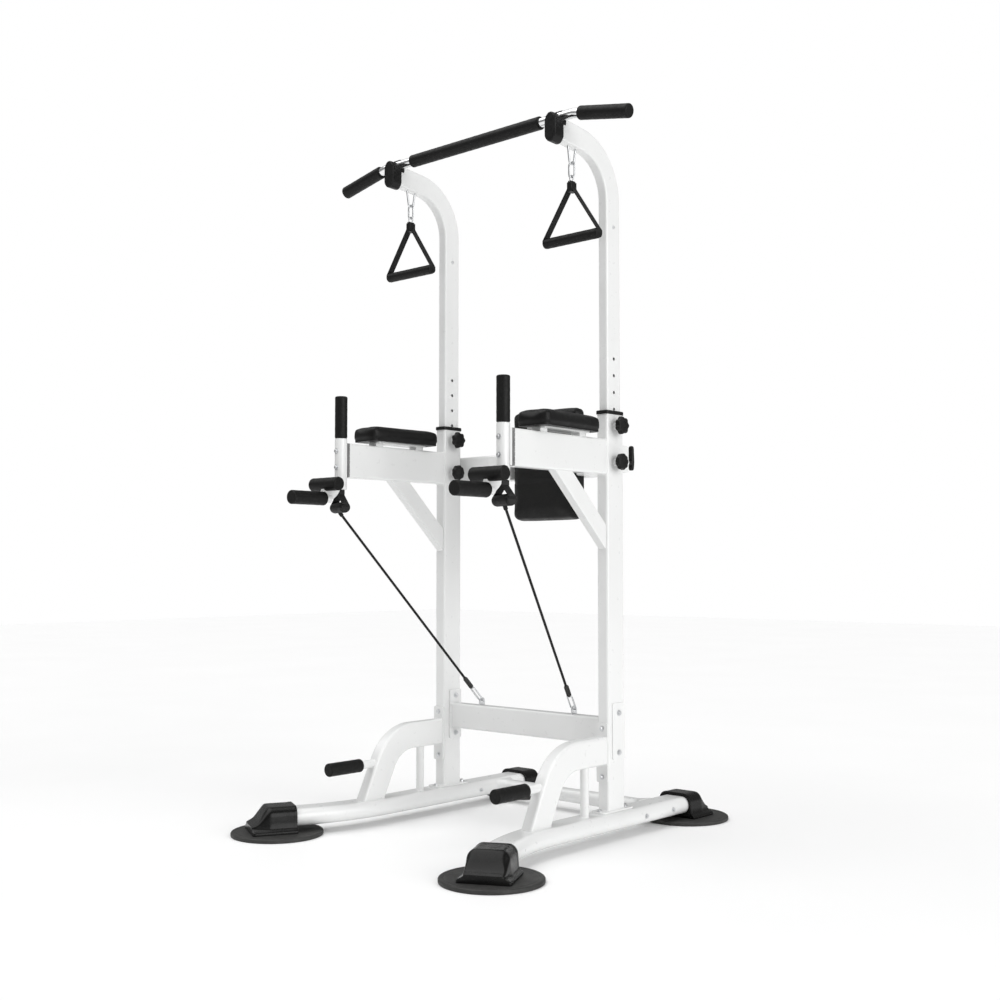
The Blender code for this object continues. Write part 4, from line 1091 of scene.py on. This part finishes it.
def knob(centre, height, outline, thick):
    """A lobed knob on its pin. Its hub, below 0.8 of its size, turns towards a circle."""
    face = centre + TUBE_X / 2 + 0.008
    reach = sum(hypot(u, v) for u, v in outline) / len(outline)
    loops = []
    for shift, scale in (
            (0, 0.42), (0.0015, 0.45), (0.006, 0.56), (0.0085, 0.8), (0.0095, 0.94), (0.011, 1.0),
            (thick - 0.006, 1.0), (thick - 0.003, 0.965), (thick - 0.001, 0.9), (thick, 0.8),
            (thick - 0.0006, 0.46), (thick - 0.0016, 0.44), (thick - 0.0016, 0.2)):
        round_off = max(0.0, 1 - scale / 0.8)
        points = []
        for u, v in outline:
            size = hypot(u, v)
            grow = (1 - round_off + reach / size * round_off) * scale
            points.append((u * grow, v * grow))
        loops.append(placed(points, (face + GAP + shift, 0, height), Y, Z))
    pin = rod((centre + TUBE_X / 2 - 0.003, 0, height), (face + 0.002, 0, height), 0.0047, 20)
    return joined(loft(loops), pin)


def rear_knob(centre):
    """A bar-shaped screw, thickest round its hub, with slimmer ends."""
    stations = (
        (0.0, 0.004, 0.0032), (0.001, 0.0062, 0.0046), (0.006, 0.008, 0.0058), (0.014, 0.0086, 0.0066),
        (0.026, 0.009, 0.0078), (0.038, 0.0088, 0.0074), (0.05, 0.0084, 0.0064), (0.064, 0.0082, 0.0058),
        (0.07, 0.0076, 0.0052), (0.073, 0.0058, 0.0042), (0.0742, 0.0036, 0.0026),
    )
    loops = []
    for level, half_x, half_y in stations:
        outline = rounded_rect(half_x * 2, half_y * 2, half_y * 0.8, 6)
        loops.append(placed(outline, (centre, REAR_KNOB_Y, 1.078 + level)))
    profile = ((0, 0.008), (0.0015, 0.0085), (0.012, 0.0082), (0.02, 0.0076))
    return joined(loft(loops), turned((centre, 0.0838, REAR_KNOB_Z), Y, profile, 36))


# Arms.


def arm():
    rear = -TUBE_Y / 2 - GAP
    middle = (ARM_LOW + ARM_HIGH) / 2
    height = ARM_HIGH - ARM_LOW
    ends = [(HALF_WIDTH, y, middle) for y in (rear, ARM_FRONT)]
    seats = [box((HALF_WIDTH - 0.016, y - 0.015, ARM_HIGH - 0.001), (HALF_WIDTH + 0.016, y + 0.015, 1.1751))
             for y in (-0.15, -0.325)]
    return joined(
        sweep(ends, X, rounded_rect(height, TUBE_X, 0.007)),
        brace_tube(),
        *seats,
        weld(rounded_rect(TUBE_X, height, 0.007), (HALF_WIDTH, rear + 0.0006, middle), Y, X, Z, 0.002),
        box((HALF_WIDTH - 0.032, -0.34, 1.1708), (HALF_WIDTH + 0.032, -0.14, 1.1752)),
    )


def brace_tube():
    """The sloping brace, with rounded long edges, cut square to the upright and the beam."""
    corners = ((-0.275, ARM_LOW + 0.003, 1, 0), (-0.0403, 0.8388, 0, 1),
               (-0.0403, 0.914, 0, -1), (-0.195, ARM_LOW + 0.003, -1, 0))
    loops = []
    for shift, inset in ((-0.014, 0.0035), (-0.0128, 0.0012), (-0.0105, 0.0),
                         (0.0105, 0.0), (0.0128, 0.0012), (0.014, 0.0035)):
        x, cut = HALF_WIDTH + shift, inset * 1.35
        loops.append([Vector((x, y + cut * way_y, z + cut * way_z)) for y, z, way_y, way_z in corners])
    return loft(loops)


def arm_saddle():
    """The ribbed grey gasket at the beam's end."""
    rear = ARM_FRONT - GAP
    half = TUBE_X / 2 + 0.0015
    core = half - 0.0012
    rib = (ARM_HIGH - ARM_LOW) / 8
    ribs = [box((HALF_WIDTH - half, -0.461, low + 0.0008), (HALF_WIDTH + half, rear, low + rib - 0.0008))
            for low in [ARM_LOW + rib * index for index in range(8)]]
    middle = box((HALF_WIDTH - core, -0.46, ARM_LOW + 0.001), (HALF_WIDTH + core, rear - 0.0004, ARM_HIGH - 0.001))
    return joined(middle, *ribs)


def arm_cradle():
    """The light clamp between the gasket and the post."""
    half = TUBE_X / 2 + 0.0005
    return box((HALF_WIDTH - half, -0.47, ARM_LOW + 0.001), (HALF_WIDTH + half, -0.4614, ARM_HIGH - 0.001))


def arm_post():
    profile = [(0, POST_RADIUS - 0.001), (0.001, POST_RADIUS), (0.154, POST_RADIUS), (0.1555, POST_RADIUS - 0.0015),
               (0.1555, STUB_RADIUS), (0.275, STUB_RADIUS)]
    web = [(-0.4785, 1.0245), (-0.4785, 1.062), (-0.5, 1.056), (-0.53, 1.04), (-0.546, 1.02), (-0.546, 0.984),
           (-0.52, 0.984), (-0.498, 0.996), (-0.484, 1.012)]
    return joined(
        turned((POST_X, POST_Y, 1.02), Z, profile, 56),
        slab(rounded_corners(web, 0.01, 5), POST_X - 0.006, POST_X + 0.006),
        rod((POST_X - 0.052, *CROSS_ROLLER), (POST_X + 0.052, *CROSS_ROLLER), STUB_RADIUS),
        rod((POST_X, -0.515, FRONT_ROLLER_Z), (POST_X, -0.655, FRONT_ROLLER_Z), STUB_RADIUS),
    )


# Cross members.


def base_crossbar():
    half = HALF_WIDTH - TUBE_X / 2 - GAP
    middle = (BASE_BAR_LOW + BASE_BAR_HIGH) / 2
    section = rounded_rect(0.04, 0.08, 0.008)
    shapes = [sweep([(x, BASE_BAR_Y, middle) for x in (0.001 - half, half - 0.001)], Z, section)]
    for sign in (1, -1):
        shapes.append(plate((sign * half, BASE_BAR_Y + 0.003, 0.309), 0.052, 0.158, -sign * 0.005))
        shapes.append(weld(section, (sign * (half - 0.0052), BASE_BAR_Y, middle), X, Y, Z))
    return joined(*shapes)


def rope_eye():
    """The drilled plate on the crossbar's top, as a loop of flat bar with its bore."""
    middle = (ROPE_EYE.y, ROPE_EYE.z)
    low = BASE_BAR_HIGH - 0.001
    outline = [(ROPE_EYE.y + 0.012, low), *arc(middle, 0.0115, 0, pi, 20), (ROPE_EYE.y - 0.012, low)]
    bore = arc(middle, 0.0055, -0.9, pi + 0.9, len(outline) - 1)
    return slab(outline, ROPE_EYE.x - 0.0021, ROPE_EYE.x + 0.0021, bore)


def back_frame():
    """The cross tube that bows behind the back pad, its mounting plate and the screws' seats."""
    corners = [(-BACK_BAR_END, BACK_BAR_Y), (-BACK_BAR_BOW.x, BACK_BAR_Y), (-BACK_BAR_BOW.x, BACK_BAR_BOW.y),
               (BACK_BAR_BOW.x, BACK_BAR_BOW.y), (BACK_BAR_BOW.x, BACK_BAR_Y), (BACK_BAR_END, BACK_BAR_Y)]
    path = filleted([(x, y, BACK_BAR_Z) for x, y in corners], 0.032, 14)
    return joined(
        sweep(path, Z, rounded_rect(0.04, 0.08, 0.007), rounded_rect(0.036, 0.076, 0.005)),
        box((-0.09, 0.1338, 1.03), (0.09, BACK_BAR_BOW.y - 0.019, 1.182)),
        *[rod((x, BACK_BAR_Y + 0.019, REAR_KNOB_Z), (x, BACK_BAR_Y + 0.023, REAR_KNOB_Z), 0.01, edge=0.0008)
          for x in (HALF_WIDTH, -HALF_WIDTH)],
    )


def end_plug(sign):
    """A moulded plug in the back bar's open end."""
    stations = ((-0.01, 0.035, 0.075), (0.0, 0.035, 0.075), (0.0, 0.04, 0.08), (0.0006, 0.04, 0.08),
                (0.0012, 0.0388, 0.0788))
    stations = [(sign * shift, width, height) for shift, width, height in stations]
    return tapered(stations, 0.007, (sign * BACK_BAR_END, BACK_BAR_Y, BACK_BAR_Z), Y, Z)


# Pads.


def cushion(width, length, thick, corner, edge):
    """A block with a rounded plan and rounded rims, centred at its bottom, length along Y."""
    rings = []
    for turn in quarter(5):
        inset = edge * (1 - sin(turn))
        outline = rounded_rect(width - 2 * inset, length - 2 * inset, corner - inset * 0.5, 8)
        rings.append((outline, edge * (1 - cos(turn))))
    rings += [(outline, thick - height) for outline, height in reversed(rings)]
    return loft([placed(outline, Z * height) for outline, height in rings])


def swell(piece, pinned, most, voxel=0.005, pressure=4.0):
    """Cloth under pressure, stopped after 20 frames; no point may move further than most."""
    remesh = piece.modifiers.new("remesh", "REMESH")
    remesh.mode = "VOXEL"
    remesh.voxel_size = voxel
    settle(piece)
    start = [vertex.co.copy() for vertex in piece.data.vertices]
    group = piece.vertex_groups.new(name="pinned")
    group.add([index for index, point in enumerate(start) if pinned(point)], 1.0, "REPLACE")
    cloth = piece.modifiers.new("cloth", "CLOTH")
    cloth.settings.use_pressure = True
    cloth.settings.uniform_pressure_force = pressure
    cloth.settings.vertex_group_mass = "pinned"
    cloth.settings.effector_weights.gravity = 0
    cloth.settings.quality = 4
    cloth.point_cache.frame_start = 1
    cloth.point_cache.frame_end = 20
    for step in range(1, 21):
        SCENE.frame_set(step)
    settle(piece)
    SCENE.frame_set(1)
    for vertex, before in zip(piece.data.vertices, start):
        shift = vertex.co - before
        if shift.length > most:
            vertex.co = before + shift.normalized() * most
    evened = piece.modifiers.new("evened", "SMOOTH")
    evened.factor = 0.5
    evened.iterations = 14
    finer = piece.modifiers.new("finer", "SUBSURF")
    finer.levels = 1
    finer.render_levels = 1
    settle(piece)
    piece.data.shade_smooth()
    return piece


def crease(piece, line, depth, width):
    """Presses a sewn line in: line gives a point's distance from it and the way inward, or None."""
    for vertex in piece.data.vertices:
        found = line(vertex.co)
        if found:
            distance, inward = found
            vertex.co += inward * depth * exp(-((distance / width) ** 2))


def nearer_side(from_x, from_other, x, other, axis):
    """The way inward from whichever of two sides is nearer."""
    return X * -copysign(1, x) if from_x < from_other else axis * -copysign(1, other)


def add_arm_pads():
    for side, sign in SIDES:
        place = Matrix.Translation((sign * 0.333, ARM_PAD_Y, ARM_PAD_Z))
        place = place @ Matrix.Rotation(sign * ARM_PAD_TURN, 4, "Z")
        whole = IN_FRAME @ place
        inverse = whole.inverted()
        shape = cushion(0.1105, 0.2735, 0.0425, 0.02, 0.008)
        pad = to_piece(f"arm_pad_{side}_look", moved(shape, place), VINYL)
        swell(pad, lambda point: point.z < ARM_PAD_Z + 0.01, 0.0045)

        def seam(point, whole=whole, inverse=inverse):
            local = inverse @ point
            if abs(local.x) < 0.045 and abs(local.y) < 0.122:
                return None
            inward = nearer_side(0.0565 - abs(local.x), 0.1385 - abs(local.y), local.x, local.y, Y)
            return local.z - 0.0085, whole.to_3x3() @ inward

        crease(pad, seam, 0.0011, 0.0022)
        tie(pad, "stand", (f"arm_pad_{side}",))
        board = moved(cushion(0.104, 0.267, 0.006, 0.018, 0.001), place @ Matrix.Translation(Z * -0.0002))
        keep(f"arm_pad_board_{side}", board, KNOB)


def add_back_pad():
    stand = Matrix.Translation((0, BACK_PAD_Y, BACK_PAD_Z)) @ Matrix.Rotation(radians(90), 4, "X")
    rear = UPRIGHT_Y + BACK_PAD_Y
    pad = to_piece("back_pad_look", moved(cushion(0.271, 0.357, 0.0455, 0.022, 0.01), stand), VINYL)
    swell(pad, lambda point: point.y > rear - 0.012, 0.006, voxel=0.006)

    def band(point):
        if point.y > rear - 0.0235:
            return None
        return min((point.z - level for level in (1.06, 1.1)), key=abs), Y

    def rim(point):
        height = point.z - BACK_PAD_Z
        edge_x, edge_z = 0.1375 - abs(point.x), 0.1805 - abs(height)
        if min(edge_x, edge_z) > 0.01:
            return None
        return point.y - (rear - 0.01), nearer_side(edge_x, edge_z, point.x, height, Z)

    crease(pad, band, 0.0022, 0.003)
    crease(pad, rim, 0.0011, 0.0024)
    tie(pad, "stand", ("back_pad",))
    board = moved(cushion(0.262, 0.348, 0.006, 0.018, 0.001), Matrix.Translation(Y * -0.0001) @ stand)
    keep("back_pad_board", board, KNOB)


def foam(start, way, length, radius):
    return lambda: sleeve(start, way, length, radius)


def build():
    add_camera()
    add_ropes()
    add_stage()
    keep_pair("front_disc", lambda: disc(FRONT_DISC), RUBBER, smooth=40)
    keep_pair("rear_disc", lambda: disc(REAR_DISC), RUBBER, smooth=40)
    keep_pair("front_boot", lambda: boot(FRONT_DISC, rail_direction(), BOOT_FRONT), GLOSS, smooth=55)
    keep_pair("rear_boot", lambda: boot(REAR_DISC, Vector((0, 1)), BOOT_REAR), GLOSS, smooth=55)
    keep_pair("floor_rail", floor_rail, WHITE)
    keep("rear_frame_look", rear_frame(), WHITE, nodes=("rear_frame",))
    keep_pair("strut", strut, WHITE)
    keep_pair("push_up_grip", foam((HALF_WIDTH, -0.384, PUSH_UP_Z), -Y, 0.128, 0.02), FOAM)
    keep_both("lower_upright", lower_upright, WHITE)
    keep_both("collar", collar, KNOB)
    keep_both("pull_knob", lambda x: knob(x, PULL_KNOB_Z, star(0.027, 7, 0.16), 0.026), KNOB, "pull_knob_{side}")
    keep_both("clamp_knob", lambda x: knob(x, CLAMP_KNOB_Z, star(0.025, 9, 0.08), 0.024), KNOB, "clamp_knob_{side}")
    keep_both("rear_knob", rear_knob, KNOB, "rear_knob_{side}")
    keep("base_crossbar_look", base_crossbar(), WHITE, nodes=("base_crossbar",))
    keep_pair("rope_eye", rope_eye, ZINC, replaced=False)
    keep("back_frame_look", back_frame(), WHITE, nodes=("back_frame",))
    for side, sign in SIDES:
        keep(f"back_bar_plug_{side}", end_plug(sign), WHITE)
    keep_pair("arm", arm, WHITE)
    keep_pair("arm_saddle", arm_saddle, GREY, edge=0.0008)
    keep_pair("arm_cradle", arm_cradle, WHITE, edge=0.002, replaced=False)
    keep_pair("arm_post", arm_post, WHITE)
    keep_pair("dip_grip", foam((POST_X, POST_Y, 1.1758), Z, 0.128, 0.019), FOAM)
    keep_pair("cross_roller", foam((POST_X - 0.06, *CROSS_ROLLER), X, 0.12, 0.0205), FOAM)
    keep_pair("front_roller", foam((POST_X, -0.5365, FRONT_ROLLER_Z), -Y, 0.128, 0.0208), FOAM)
    add_masts()
    keep("pull_up_bar_look", pull_up_bar(), CHROME, "mast", ("pull_up_bar",))
    middle = sleeve((-FOAM_MIDDLE_HALF, BAR_Y, BAR_Z), X, 2 * FOAM_MIDDLE_HALF, FOAM_RADIUS)
    keep("bar_foam_middle_look", middle, FOAM, "mast", ("bar_foam_middle",))
    keep_pair("bar_foam", bar_foam, FOAM, "mast")
    keep_both("bar_cap", bar_cap, KNOB, "mast")
    add_handles()
    add_rope_handles()
    add_arm_pads()
    add_back_pad()
    add_bolts()


build()
